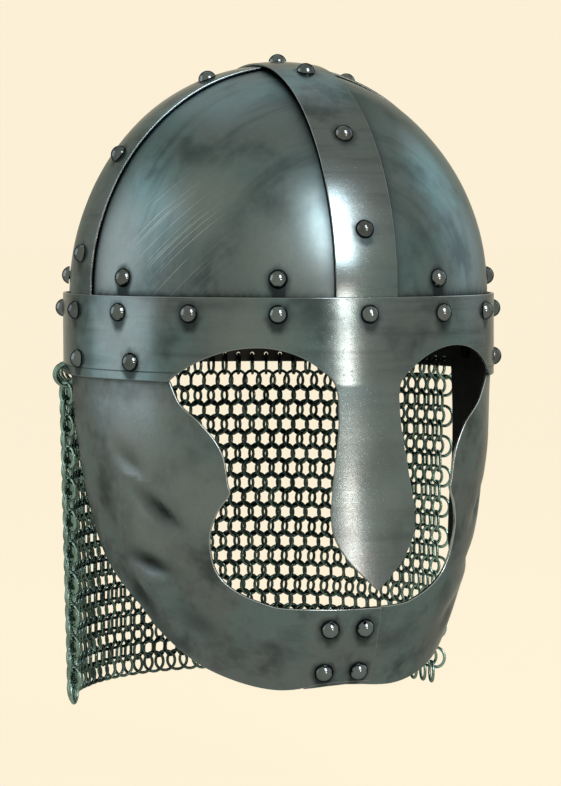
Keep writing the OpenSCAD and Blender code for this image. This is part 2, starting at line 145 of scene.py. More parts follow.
class Graph:
    """The node graph of one material or world."""

    def __init__(self, owner: Union[bpy.types.Material, bpy.types.World]) -> None:
        """Empties the owner's graph.

        Args:
            owner: the material or world.
        """
        owner.use_nodes = True
        self.tree = owner.node_tree
        self.tree.nodes.clear()

    def node(
        self,
        kind: str,
        settings: Optional[dict] = None,
        inputs: Optional[dict] = None,
        output: Union[int, str] = 0,
    ) -> Wire:
        """Adds any node.

        Args:
            kind: the node's type.
            settings: its own settings.
            inputs: values or wires by socket name or number.
            output: the output to hand back.

        Returns:
            The chosen output.
        """
        node = self.tree.nodes.new(kind)
        for name, value in (settings or {}).items():
            setattr(node, name, value)
        for name, value in (inputs or {}).items():
            socket = node.inputs[name]
            if isinstance(value, Wire):
                self.tree.links.new(value.socket, socket)
            elif socket.type == "RGBA":
                socket.default_value = (*value[:3], 1.0)
            else:
                socket.default_value = value
        return Wire(self, node.outputs[output] if node.outputs else None)

    def place(self) -> Wire:
        """Position on the piece, in metres."""
        return self.node("ShaderNodeTexCoord", output="Object")

    def stretched(self, place: Wire, turn: Sequence[float], scale: Sequence[float]) -> Wire:
        """Turns and stretches a position.

        Args:
            place: the position.
            turn: rotation in degrees about X, Y and Z.
            scale: stretch along X, Y and Z.

        Returns:
            The new position.
        """
        turned = tuple(math.radians(a) for a in turn)
        inputs = {"Vector": place, "Rotation": turned, "Scale": tuple(scale)}
        return self.node("ShaderNodeMapping", {}, inputs)

    def noise(self, place: Wire, scale: float, detail: float = 3.0, rough: float = 0.5) -> Wire:
        """Noise between 0 and 1.

        Args:
            place: where it is read.
            scale: patches per metre.
            detail: number of finer layers.
            rough: strength of the finer layers.

        Returns:
            The noise value.
        """
        inputs = {"Vector": place, "Scale": scale, "Detail": detail, "Roughness": rough}
        return self.node("ShaderNodeTexNoise", {}, inputs)

    def mask(self, value: Wire, low: float, high: float) -> Wire:
        """Smooth step.

        Args:
            value: what is tested.
            low: where the mask is 0.
            high: where the mask is 1.

        Returns:
            The mask.
        """
        inputs = {"Value": value, "From Min": low, "From Max": high}
        return self.node("ShaderNodeMapRange", {"interpolation_type": "SMOOTHSTEP"}, inputs)

    def mix(self, share: Value, first: Value, second: Value) -> Wire:
        """Mixes two colours.

        Args:
            share: how much of the second is used.
            first: colour at 0.
            second: colour at 1.

        Returns:
            The mixed colour.
        """
        return self.node("ShaderNodeMix", {"data_type": "RGBA"}, {0: share, 6: first, 7: second}, 2)

    def along(self, place: Wire, way: Sequence[float]) -> Wire:
        """Distance of a position along a direction."""
        settings = {"operation": "DOT_PRODUCT"}
        return self.node("ShaderNodeVectorMath", settings, {0: place, 1: tuple(way)}, "Value")

    def patch(self, place: Wire, centre: Sequence[float], full: float, reach: float) -> Wire:
        """A round patch on the piece.

        Args:
            place: position on the piece.
            centre: the patch's middle, in metres.
            full: distance up to which it is 1.
            reach: distance at which it has faded to 0.

        Returns:
            The patch.
        """
        settings = {"operation": "DISTANCE"}
        away = self.node("ShaderNodeVectorMath", settings, {0: place, 1: tuple(centre)}, "Value")
        return 1.0 - self.mask(away, full, reach)

    def joined(self, *parts: Wire) -> Wire:
        """A position made of its parts."""
        return self.node("ShaderNodeCombineXYZ", {}, dict(enumerate(parts)))

    def marked(self, name: str) -> Wire:
        """A value stored on the mesh."""
        return self.node("ShaderNodeAttribute", {"attribute_name": name}, {}, "Fac")

    def bumped(self, height: Wire, strength: float, depth: float) -> Wire:
        """Small relief, whose depth is in metres."""
        inputs = {"Strength": strength, "Distance": depth, "Height": height}
        return self.node("ShaderNodeBump", {}, inputs)

    def finish_surface(self, inputs: dict) -> None:
        """Adds the surface shader and connects it to the output.

        Args:
            inputs: the surface shader's values and wires.
        """
        surface = self.node("ShaderNodeBsdfPrincipled", {}, inputs)
        self.node("ShaderNodeOutputMaterial", {}, {"Surface": surface})


@dataclass(frozen=True)
class Finish:
    """What every finish has: a slot, and a material made from its surface."""

    slot: Slot

    def surface(self, graph: Graph, place: Wire) -> dict:
        """The surface shader's values and wires, which each kind of finish gives itself."""
        raise NotImplementedError(self.slot)

    def material(self) -> bpy.types.Material:
        """Builds the finish.

        Returns:
            The material, named for its slot.
        """
        material = bpy.data.materials.new(self.slot.value)
        graph = Graph(material)
        graph.finish_surface(self.surface(graph, graph.place()))
        return material


@dataclass(frozen=True)
class Steel(Finish):
    """Dark burnished steel with clouds of patina, scratches, worn edges, painted sheen and painted shade.

    Places and sizes are in metres, and cloud, grain, pits and streaks are patches per metre. A
    painted sheen place, a lighter patch that stands for a reflection, has its centre and its reach,
    the groove has its height and the distance from the centre line where it starts, and limits are
    where a mask begins and where it is full.
    """

    cool: Colour
    warm: Colour
    deep: Colour
    worn: Colour
    # The colour of the painted sheen: lighter patches that stand for reflections.
    light: Colour = (0.150, 0.190, 0.208)
    inside: Colour = (0.018, 0.019, 0.018)
    rim_tint: Colour = (0.55, 0.57, 0.57)
    rough: tuple[float, float] = (0.22, 0.4)
    cloud: float = 17.0
    grain: float = 420.0
    pits: float = 1700.0
    streaks: tuple[float, float, float] = (12.0, 120.0, 12.0)
    scratch: float = 0.35
    hammer: float = 0.25
    wear: float = 0.6
    relief: float = 0.0006
    patina_limits: tuple[float, float] = (0.38, 0.62)
    drift_limits: tuple[float, float] = (0.46, 0.70)
    streak_limits: tuple[float, float] = (0.46, 0.72)
    pit_limits: tuple[float, float] = (0.62, 0.76)
    edge_limits: tuple[float, float] = (0.45, 0.95)
    scratched: tuple[float, float, float] = (-0.0766, -0.0669, 0.0657)
    scratched_reach: tuple[float, float] = (0.010, 0.036)
    scratch_way: tuple[float, float, float] = (0.56, -0.503, 0.658)
    scratch_across: tuple[float, float, float] = (-0.261, 0.647, 0.717)
    scratch_scale: tuple[float, float] = (1500.0, 14.0)
    groove: tuple[float, float] = (0.0, 0.0)
    groove_width: tuple[float, float] = (0.0001, 0.0005)
    groove_end: float = 0.006
    # Painted sheen: lighter patches that stand for reflections, each with its centre and its reach.
    painted_sheen: tuple[tuple[float, float, float, float], ...] = ()

    def scratches(self, graph: Graph, place: Wire) -> Wire:
        """Fine strokes all over, and longer parallel ones round one place.

        Args:
            graph: the material's graph.
            place: position on the piece.

        Returns:
            1 on a stroke, 0 elsewhere.
        """
        fine = graph.noise(graph.stretched(place, (0, 38, 0), (1500, 90, 60)), 1.0, 2.0, 0.5)
        across = graph.along(place, self.scratch_across) * self.scratch_scale[0]
        lines = graph.joined(across, graph.along(place, self.scratch_way) * self.scratch_scale[1])
        long_lines = graph.mask(graph.noise(lines, 1.0, 1.0, 0.5), 0.62, 0.67)
        patch = graph.patch(place, self.scratched, *self.scratched_reach)
        return (long_lines * patch + graph.mask(fine, 0.66, 0.86) * 0.2).clipped()

    def engraved(self, graph: Graph, place: Wire) -> Wire:
        """The thin line scribed above the brow band's lower edge, beside the eyes.

        Args:
            graph: the material's graph.
            place: position on the piece.

        Returns:
            1 in the line, 0 elsewhere.
        """
        height, reach = self.groove
        off = (graph.along(place, (0, 0, 1)) - height).size()
        side = graph.mask(graph.along(place, (1, 0, 0)).size(), reach, reach + self.groove_end)
        return (1.0 - graph.mask(off, *self.groove_width)) * side

    def surface(self, graph: Graph, place: Wire) -> dict:
        """Clouds and streaks of patina, then painted sheen, darkening, scratches and worn edges over them.

        Args:
            graph: the material's graph.
            place: position on the piece.

        Returns:
            The surface shader's values and wires.
        """
        clouds = graph.noise(place, self.cloud, 4.0, 0.55)
        drift = graph.noise(graph.stretched(place, (20, 35, 10), (1, 1, 1)), self.cloud * 1.7, 4.0, 0.6)
        brushed = graph.noise(graph.stretched(place, (0, 0, 0), self.streaks), 1.0, 4.0, 0.6)
        grain = graph.noise(place, self.grain, 3.0, 0.6)
        pits = graph.mask(graph.noise(place, self.pits, 2.0, 0.5), *self.pit_limits)
        scratches = self.scratches(graph, place)
        edge, soot, lap, inner = (graph.marked(name) for name in ("edge", "soot", "lap", "inner"))
        tone = graph.mix(graph.mask(clouds, *self.patina_limits), self.cool, self.warm)
        tone = graph.mix(graph.mask(drift, *self.drift_limits) * 0.85, tone, self.deep)
        tone = graph.mix(graph.mask(brushed, *self.streak_limits) * 0.55, tone, self.deep)
        # Painted sheen: lighter patches at fixed places, in the light colour, that stand for reflections.
        for *centre, reach in self.painted_sheen:
            wear_and_sheen = graph.patch(place, centre, 0.2 * reach, reach) * (0.3 + clouds * 0.9)
            tone = graph.mix(wear_and_sheen.clipped(), tone, self.light)
        tone = graph.mix(grain * 0.25, tone, self.deep)
        # Darkening: rings round the rivets, the scribed line, and the painted shade mark, which holds painted
        # shade beside the bands and in the cheek's hollows and a painted shadow under the brow band.
        darkening = (soot * 0.9 + lap * (0.45 + clouds * 0.8)).clipped()
        if self.groove[0]:
            darkening = (darkening + self.engraved(graph, place) * 0.7).clipped()
        tone = graph.mix(darkening, tone, tuple(c * 0.4 for c in self.deep))
        tone = graph.mix((scratches * self.scratch).clipped(), tone, self.worn)
        worn_edge = graph.mask(edge + (grain - 0.5) * 0.4, *self.edge_limits) * self.wear
        tone = graph.mix(worn_edge.clipped(), tone, self.worn)
        tone = graph.mix(inner * 0.92, tone, self.inside)
        low, high = self.rough
        rough = low + clouds * (high - low) + pits * 0.12 + darkening * 0.15 - scratches * 0.06 + inner * 0.3
        height = grain * 0.1 - pits * 0.05 + drift * self.hammer + brushed * 0.15 - scratches * 0.12
        return {
            "Base Color": tone,
            "Metallic": 1.0,
            "Roughness": rough.clipped(),
            "Normal": graph.bumped(height, 0.3, self.relief),
            "Specular Tint": self.rim_tint,
        }


@dataclass(frozen=True)
class MailWire(Finish):
    """Oiled mail wire: dark, with a tone of its own on every ring; the back's darker rings are painted shade.
    """

    dark: Colour = (0.020, 0.034, 0.034)
    light: Colour = (0.20, 0.32, 0.30)
    rust: Colour = (0.035, 0.036, 0.030)
    rim_tint: Colour = (0.4, 0.4, 0.4)

    def surface(self, graph: Graph, place: Wire) -> dict:
        """Each ring's tone with dull rusty spots.

        Args:
            graph: the material's graph.
            place: position on the piece.

        Returns:
            The surface shader's values and wires.
        """
        # Each ring's tone, which holds the painted shade of the back's rings.
        tone = graph.mix(graph.marked("tone"), self.dark, self.light)
        spots = graph.mask(graph.noise(place, 260.0, 3.0, 0.6), 0.55, 0.75)
        return {
            "Base Color": graph.mix(spots * 0.5, tone, self.rust),
            "Metallic": 1.0,
            "Roughness": 0.14 + graph.noise(place, 600.0) * 0.2,
            "Specular Tint": self.rim_tint,
        }


@dataclass(frozen=True)
class Leather(Finish):
    """Dark vegetable-tanned leather with creases and rubbed high places."""

    base: Colour
    wear_and_sheen: Colour
    grain: float = 900.0
    relief: float = 0.0005

    def surface(self, graph: Graph, place: Wire) -> dict:
        """Grain and creases, rubbed lighter in patches and along the edges.

        Args:
            graph: the material's graph.
            place: position on the piece.

        Returns:
            The surface shader's values and wires.
        """
        settings = {"feature": "DISTANCE_TO_EDGE"}
        cells = graph.node("ShaderNodeTexVoronoi", settings, {"Vector": place, "Scale": self.grain})
        creases = graph.noise(graph.stretched(place, (0, 0, 30), (1, 1, 0.4)), 90.0, 5.0, 0.65)
        wear = graph.mask(graph.noise(place, 45.0, 4.0, 0.6), 0.45, 0.7)
        wear_and_sheen = (wear + graph.marked("edge") * 0.6).clipped() * 0.8
        return {
            "Base Color": graph.mix(wear_and_sheen, self.base, self.wear_and_sheen),
            "Roughness": 0.75 - wear * 0.2,
            "Normal": graph.bumped(cells * 0.4 + creases * 0.8, 0.5, self.relief),
        }


# Plane geometry


def smooth_curve(points: Sequence[Sequence[float]], steps: int) -> np.ndarray:
    """Smooth curve through points.

    Args:
        points: the points to pass through.
        steps: straight steps between two points.

    Returns:
        The curve's points.
    """
    p = np.array(points, float)
    last = len(p) - 1
    out = []
    for i in range(last):
        a, b, c, d = p[max(i - 1, 0)], p[i], p[i + 1], p[min(i + 2, last)]
        for k in range(steps):
            t = k / steps
            bend = (2 * a - 5 * b + 4 * c - d) * t**2 + (3 * b - a - 3 * c + d) * t**3
            out.append(0.5 * (2 * b + (c - a) * t + bend))
    out.append(p[-1])
    return np.array(out)


def unit(vectors: np.ndarray) -> np.ndarray:
    """The vectors' directions, each with a length of 1."""
    return vectors / np.maximum(np.linalg.norm(vectors, axis=1), 1e-12)[:, None]


def oval_angle(turn: float, size: Sequence[float]) -> float:
    """Angle round an oval at which equal turns give equal distances along its edge.

    Args:
        turn: the even turn, in degrees.
        size: half width and half length.

    Returns:
        The angle in degrees.
    """
    w, l = size
    k = (l * l - w * w) / (l * l + w * w) / 4
    return turn - k * math.degrees(math.sin(2 * math.radians(turn)))


def inside(points: np.ndarray, loops: Sequence[np.ndarray]) -> np.ndarray:
    """Tests which points lie in the loops by the even-odd rule.

    Args:
        points: the points to test.
        loops: closed outlines.

    Returns:
        True for each point inside.
    """
    result = np.zeros(len(points), bool)
    x, y = points[:, 0], points[:, 1]
    for loop in loops:
        for (x0, y0), (x1, y1) in zip(loop, np.roll(loop, -1, axis=0)):
            if y0 == y1:
                continue
            crosses = (y0 > y) != (y1 > y)
            result ^= crosses & (x < x0 + (y - y0) * (x1 - x0) / (y1 - y0))
    return result


@dataclass
class Cut:
    """A closed edge of a sheet's flat pattern. Seam steps are joined to each other, not cut."""

    points: np.ndarray
    seams: Optional[np.ndarray] = None
    worn: bool = True

    def stepped(self, step: float, anticlockwise: bool) -> "Cut":
        """Divides long steps and sets the direction.

        Args:
            step: longest step allowed.
            anticlockwise: the direction wanted.

        Returns:
            The divided edge.
        """
        seams = self.seams if self.seams is not None else np.zeros(len(self.points), bool)
        points, flags = [], []
        for i, (a, b) in enumerate(zip(self.points, np.roll(self.points, -1, axis=0))):
            length = float(np.linalg.norm(b - a))
            if length < 1e-6:
                continue
            count = max(1, math.ceil(length / step))
            for k in range(count):
                points.append(a + (b - a) * k / count)
                flags.append(bool(seams[i]))
        p, f = np.array(points), np.array(flags)
        q = np.roll(p, -1, axis=0)
        area = float(np.sum(p[:, 0] * q[:, 1] - q[:, 0] * p[:, 1]))
        if (area > 0) != anticlockwise:
            p, f = p[::-1].copy(), np.roll(f[::-1], -1).copy()
        return Cut(p, f, self.worn)

    def inward(self) -> np.ndarray:
        """Direction from each point into the sheet, long enough to keep the rim even at corners.

        Returns:
            One vector for each point.
        """
        step = np.roll(self.points, -1, axis=0) - self.points
        step /= np.linalg.norm(step, axis=1)[:, None]
        left = np.stack([-step[:, 1], step[:, 0]], axis=1)
        before = np.roll(left, 1, axis=0)
        seam, seam_before = self.seams, np.roll(self.seams, 1)
        both = left + before
        both /= np.maximum(1 + np.sum(left * before, axis=1), 0.35)[:, None]
        both[seam & ~seam_before] = before[seam & ~seam_before]
        both[~seam & seam_before] = left[~seam & seam_before]
        both[seam & seam_before] = 0
        return both


@dataclass
class Sheet:
    """Sheet metal or leather cut from a flat pattern, formed over a surface, with rounded rims.

    The first cut is the outer edge and the others are openings. The bead is the strip beside an
    edge, the probe is the small step that normals are measured with, and the darkening round a
    rivet has its reach, its fading and how far it is drawn out below the head.
    """

    name: str
    cuts: list[Cut]
    surface: Surface
    thickness: float
    rim: float = 0.5
    bead: float = 0.7
    grid: float = 3.2
    edge_step: float = 2.0
    probe: float = 0.2
    dents: Optional[Callable[[np.ndarray], np.ndarray]] = None
    rivets: Sequence[np.ndarray] = field(default_factory=list)
    rivet_darkening_size: tuple[float, float, float] = (4.5, 1.2, 0.62)
    # Painted shade mark: where shade is painted on the sheet, 1 at its darkest, fading to 0.
    lap: Optional[Callable[[np.ndarray], np.ndarray]] = None

    def formed(self, flat: np.ndarray) -> np.ndarray:
        """Outer surface with its dents.

        Args:
            flat: points of the flat pattern.

        Returns:
            Points in millimetres.
        """
        p = self.surface(flat[:, 0], flat[:, 1])
        if self.dents is None:
            return p
        return p + self.normal(flat, self.surface) * self.dents(p)[:, None]

    def normal(self, flat: np.ndarray, surface: Optional[Surface] = None) -> np.ndarray:
        """Outward normal.

        Args:
            flat: points of the flat pattern.
            surface: the plain surface, or None for the dented one.

        Returns:
            Unit vectors.
        """
        e = self.probe
        u, v = flat[:, 0], flat[:, 1]

        def at(du: float, dv: float) -> np.ndarray:
            """The surface a little to one side.

            Args:
                du: step along the pattern's first direction.
                dv: step along its second direction.

            Returns:
                The points.
            """
            if surface is not None:
                return surface(u + du, v + dv)
            return self.formed(np.stack([u + du, v + dv], axis=1))

        return unit(np.cross(at(e, 0) - at(-e, 0), at(0, e) - at(0, -e)))

    def filling(self, edges: np.ndarray) -> np.ndarray:
        """Staggered rows of points over the whole pattern.

        Args:
            edges: points of the edges.

        Returns:
            The rows' points.
        """
        low, high = edges.min(0), edges.max(0)
        rows = []
        for k, v in enumerate(np.arange(low[1], high[1], self.grid * math.sqrt(3) / 2)):
            u = np.arange(low[0] + (k % 2) * self.grid / 2, high[0], self.grid)
            rows.append(np.stack([u, np.full(len(u), v)], axis=1))
        return np.concatenate(rows)

    def pattern_points(self, cuts: Sequence[Cut]) -> tuple[np.ndarray, np.ndarray, list]:
        """Flat points of the face: its edges, a line just inside the outer one, and the filling.

        Args:
            cuts: the divided edges.

        Returns:
            The points, their wear, and the edge steps as pairs of numbers.
        """
        loops = [cut.points + cut.inward() * self.rim for cut in cuts]
        wear, steps, start = [], [], 0
        for cut, loop in zip(cuts, loops):
            count = len(loop)
            wear.append(np.full(count, 0.5 if cut.worn else 0.0))
            steps += [(start + i, start + (i + 1) % count) for i in range(count)]
            start += count
        edges = np.concatenate(loops)
        outer = cuts[0]
        reach = np.linalg.norm(outer.inward(), axis=1) > 0
        beside = (outer.points + outer.inward() * (self.rim + self.bead))[reach]
        groups = [edges]
        clear = 0.62 * self.grid + 0.6 * self.bead
        for group, gap in ((beside, 0.45 * self.bead), (self.filling(edges), clear)):
            kept = group[inside(group, loops)]
            near = np.array([float(np.min(np.sum((edges - p) ** 2, axis=1))) for p in kept])
            groups.append(kept[near > gap * gap] if len(kept) else kept)
        points = np.concatenate(groups)
        wear.append(np.zeros(len(points) - len(edges)))
        return points, np.concatenate(wear), steps

    def face(self, cuts: Sequence[Cut]) -> tuple[np.ndarray, np.ndarray, np.ndarray, dict[int, int]]:
        """The flat face as triangles.

        Args:
            cuts: the divided edges.

        Returns:
            The points, the triangles, the points' wear, and each edge point's number among them.
        """
        flat, wear, steps = self.pattern_points(cuts)
        result = delaunay_2d_cdt([Vector(p) for p in flat], steps, [], 0, 1e-5, True)
        points = np.array([tuple(v) for v in result[0]])
        triangles = np.array([f for f in result[2] if len(f) == 3])
        loops = [cut.points + cut.inward() * self.rim for cut in cuts]
        triangles = triangles[inside(points[triangles].mean(axis=1), loops)]
        a, b, c = (points[triangles[:, k]] for k in range(3))
        turned = np.cross(b - a, c - a) < 0
        triangles[turned] = triangles[turned][:, ::-1]
        found = {old: new for new, olds in enumerate(result[3]) for old in olds}
        kept_wear = np.zeros(len(points))
        for old, new in found.items():
            kept_wear[new] = max(kept_wear[new], wear[old])
        return points, triangles, kept_wear, found

    def rim_profile(self) -> list[tuple[float, float, float, float]]:
        """Section of the rounded rim, from the outer face to the inner one.

        Returns:
            For each row: inset, depth, and the shares of upward and outward in its normal.
        """
        half = math.sqrt(0.5)
        corner = self.rim * (1 - half)
        return [
            (corner, corner, half, half),
            (0.0, self.rim, 0.0, 1.0),
            (0.0, self.thickness - self.rim, 0.0, 1.0),
            (corner, self.thickness - corner, -half, half),
        ]

    def mesh(self) -> bpy.types.Object:
        """Makes the closed sheet: two faces, and a rounded rim along every edge.

        Returns:
            The new object.
        """
        cuts = [cut.stepped(self.edge_step, k == 0) for k, cut in enumerate(self.cuts)]
        flat, triangles, wear, found = self.face(cuts)
        count = len(flat)
        skin = self.formed(flat)
        bent = self.normal(flat)
        points = [skin, skin - self.normal(flat, self.surface) * self.thickness]
        normals = [bent, -bent]
        marks = [wear, wear]
        flats = [flat, flat]
        faces = [tuple(t) for t in triangles] + [tuple(t[::-1] + count) for t in triangles]
        total, start = 2 * count, 0
        for cut in cuts:
            size, base, inward = len(cut.points), cut.points, cut.inward()
            up = self.normal(base, self.surface)
            outer, inner = base - inward * self.probe, base + inward * self.probe
            out = unit(self.surface(*outer.T) - self.surface(*inner.T))
            edge = [found[start + i] for i in range(size)]
            rows = [edge]
            for inset, depth, upward, outward in self.rim_profile():
                row = base + inward * inset
                points.append(self.formed(row) - self.normal(row, self.surface) * depth)
                normals.append(unit(up * upward + out * outward))
                marks.append(np.full(size, 1.0 if cut.worn else 0.0))
                flats.append(base)
                rows.append([total + i for i in range(size)])
                total += size
            rows.append([number + count for number in edge])
            for upper, lower in zip(rows, rows[1:]):
                for i in range(size):
                    j = (i + 1) % size
                    if not cut.seams[i]:
                        faces.append((upper[j], upper[i], lower[i], lower[j]))
            start += size
        return self.joined(np.concatenate(points), faces, normals, marks, flats)

    def joined(
        self, points: np.ndarray, faces: list, normals: list, marks: list, flats: list
    ) -> bpy.types.Object:
        """Joins the seam, if there is one, and writes the object.

        Args:
            points: all points in millimetres.
            faces: faces as point numbers.
            normals: normals in groups.
            marks: wear in groups.
            flats: flat pattern points in groups.

        Returns:
            The new object.
        """
        flat = np.concatenate(flats)
        inner_start = len(flats[0])
        number = np.arange(len(points))
        if any(cut.seams is not None and cut.seams.any() for cut in self.cuts):
            low, high = flat[:, 0].min(), flat[:, 0].max()
            left = np.nonzero(flat[:, 0] < low + 1e-6)[0]
            tree = kdtree.KDTree(len(left))
            for i in left:
                tree.insert(Vector(points[i]), int(i))
            tree.balance()
            for i in np.nonzero(flat[:, 0] > high - 1e-6)[0]:
                _, match, distance = tree.find(Vector(points[i]))
                if distance < 0.02:
                    number[i] = match
        faces = [tuple(int(number[i]) for i in f) for f in faces]
        faces = [f for f in faces if len(set(f)) == len(f)]
        # Darker round each rivet head, drawn out further below it.
        head, fade, drop = self.rivet_darkening_size
        soot = np.zeros(len(points))
        for centre in self.rivets:
            away = points - centre
            away[:, 2] *= np.where(away[:, 2] < 0, drop, 1.0)
            distance = np.linalg.norm(away, axis=1)
            soot = np.maximum(soot, np.exp(-((np.maximum(distance - head, 0) / fade) ** 2)))
        attributes = {
            "edge": np.concatenate(marks),
            "soot": soot,
            # The painted shade mark, where shade is painted on the sheet.
            "lap": np.zeros(len(points)) if self.lap is None else self.lap(points),
            "inner": (np.arange(len(points)) // inner_start == 1).astype(float),
        }
        return make_object(self.name, points, faces, np.concatenate(normals), attributes)


def make_object(
    name: str,
    points: np.ndarray,
    faces: Sequence[Sequence[int]],
    normals: Optional[np.ndarray] = None,
    attributes: Optional[dict] = None,
) -> bpy.types.Object:
    """Writes a smooth mesh object.

    Args:
        name: the piece's name.
        points: points in millimetres.
        faces: faces as point numbers.
        normals: a normal for each point, if the shape's own are wanted.
        attributes: values for each point, by name.

    Returns:
        The new object.
    """
    used = np.unique(np.concatenate([np.asarray(f) for f in faces]))
    renumber = -np.ones(len(points), int)
    renumber[used] = np.arange(len(used))
    mesh = bpy.data.meshes.new(name)
    mesh.from_pydata((points[used] * MM).tolist(), [], [[int(renumber[i]) for i in f] for f in faces])
    mesh.update()
    mesh.shade_smooth()
    for key, values in (attributes or {}).items():
        layer = mesh.attributes.new(key, "FLOAT", "POINT")
        layer.data.foreach_set("value", values[used].astype(np.float32))
    if normals is not None:
        mesh.normals_split_custom_set_from_vertices(normals[used].tolist())
    made = bpy.data.objects.new(name, mesh)
    bpy.context.scene.collection.objects.link(made)
    return made


def waves(seed: int, depth: float, lengths: Sequence[float]) -> Callable[[np.ndarray], np.ndarray]:
    """Soft inward hammer marks, the same on every run.

    Args:
        seed: the seed of the marks.
        depth: how deep they go, in millimetres.
        lengths: their widths, in millimetres.

    Returns:
        A function from points to displacement along the normal.
    """
    draw = random.Random(seed)
    terms = []
    for length in lengths:
        for _ in range(4):
            way = Vector([draw.gauss(0, 1) for _ in range(3)]).normalized()
            terms.append((np.array(way) * 2 * math.pi / length, draw.uniform(0, 2 * math.pi), length))
    total = sum(term[2] for term in terms)

    def dents(p: np.ndarray) -> np.ndarray:
        """Displacement, never outward."""
        height = sum(np.sin(p @ way + phase) * length / total for way, phase, length in terms)
        return (height - 1) * depth * 0.5

    return dents


def dress(piece: bpy.types.Object, slot: Slot, materials: dict, body: Optional[str], *nodes: str) -> None:
    """Gives a piece its finish and its place in the frame.

    Args:
        piece: the object.
        slot: the material slot that it takes its finish from.
        materials: the finishes by slot.
        body: the body that it rides on, or None to leave it unattached.
        nodes: the solids that it stands for.
    """
    piece.data.materials.append(materials[slot])
    if body is not None:
        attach(piece, body)
    if nodes:
        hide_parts(*nodes)
    LOG.info("%s: %d faces", piece.name, len(piece.data.polygons))


# Surfaces of the helmet


@dataclass(frozen=True)
class Sizes:
    """Shared sizes of the helmet's layers: half width and half length, and rises over the band."""

    brow: tuple[float, float] = (103.5, 113.0)
    brow_height: float = 39.0
    band: tuple[float, float] = (101.9, 111.262)
    skull: tuple[float, float] = (100.6, 109.862)
    skull_rise: float = 109.0
    cross_rise: float = 110.3
    crest_rise: float = 111.7
    tuck: float = 13.0
    brow_rivets: int = 16
    brow_rivet_height: float = 31.3

    def crown_point(self, size: Sequence[float], rise: float, turn: float, up: float) -> np.ndarray:
        """A rivet's place on a crown.

        Args:
            size: half width and half length of the crown.
            rise: its height above the brow band.
            turn: turn round the helmet in degrees.
            up: angle up the crown in degrees.

        Returns:
            The point.
        """
        a, b = math.radians(oval_angle(turn, size)), math.radians(up)
        x, y = size[0] * math.cos(b) * math.cos(a), size[1] * math.cos(b) * math.sin(a)
        return np.array([x, y, self.brow_height + rise * math.sin(b)])

    def brow_point(self, turn: float, z: float) -> np.ndarray:
        """A rivet's place on the brow band.

        Args:
            turn: turn round the helmet in degrees.
            z: height.

        Returns:
            The point.
        """
        a = math.radians(oval_angle(turn, self.brow))
        return np.array([self.brow[0] * math.cos(a), self.brow[1] * math.sin(a), z])

    def brow_rivet_places(self) -> list[np.ndarray]:
        """Places of the rivets along the brow band's upper edge."""
        step = 360 / self.brow_rivets
        return [self.brow_point(step * k, self.brow_rivet_height) for k in range(self.brow_rivets)]


SIZES = Sizes()


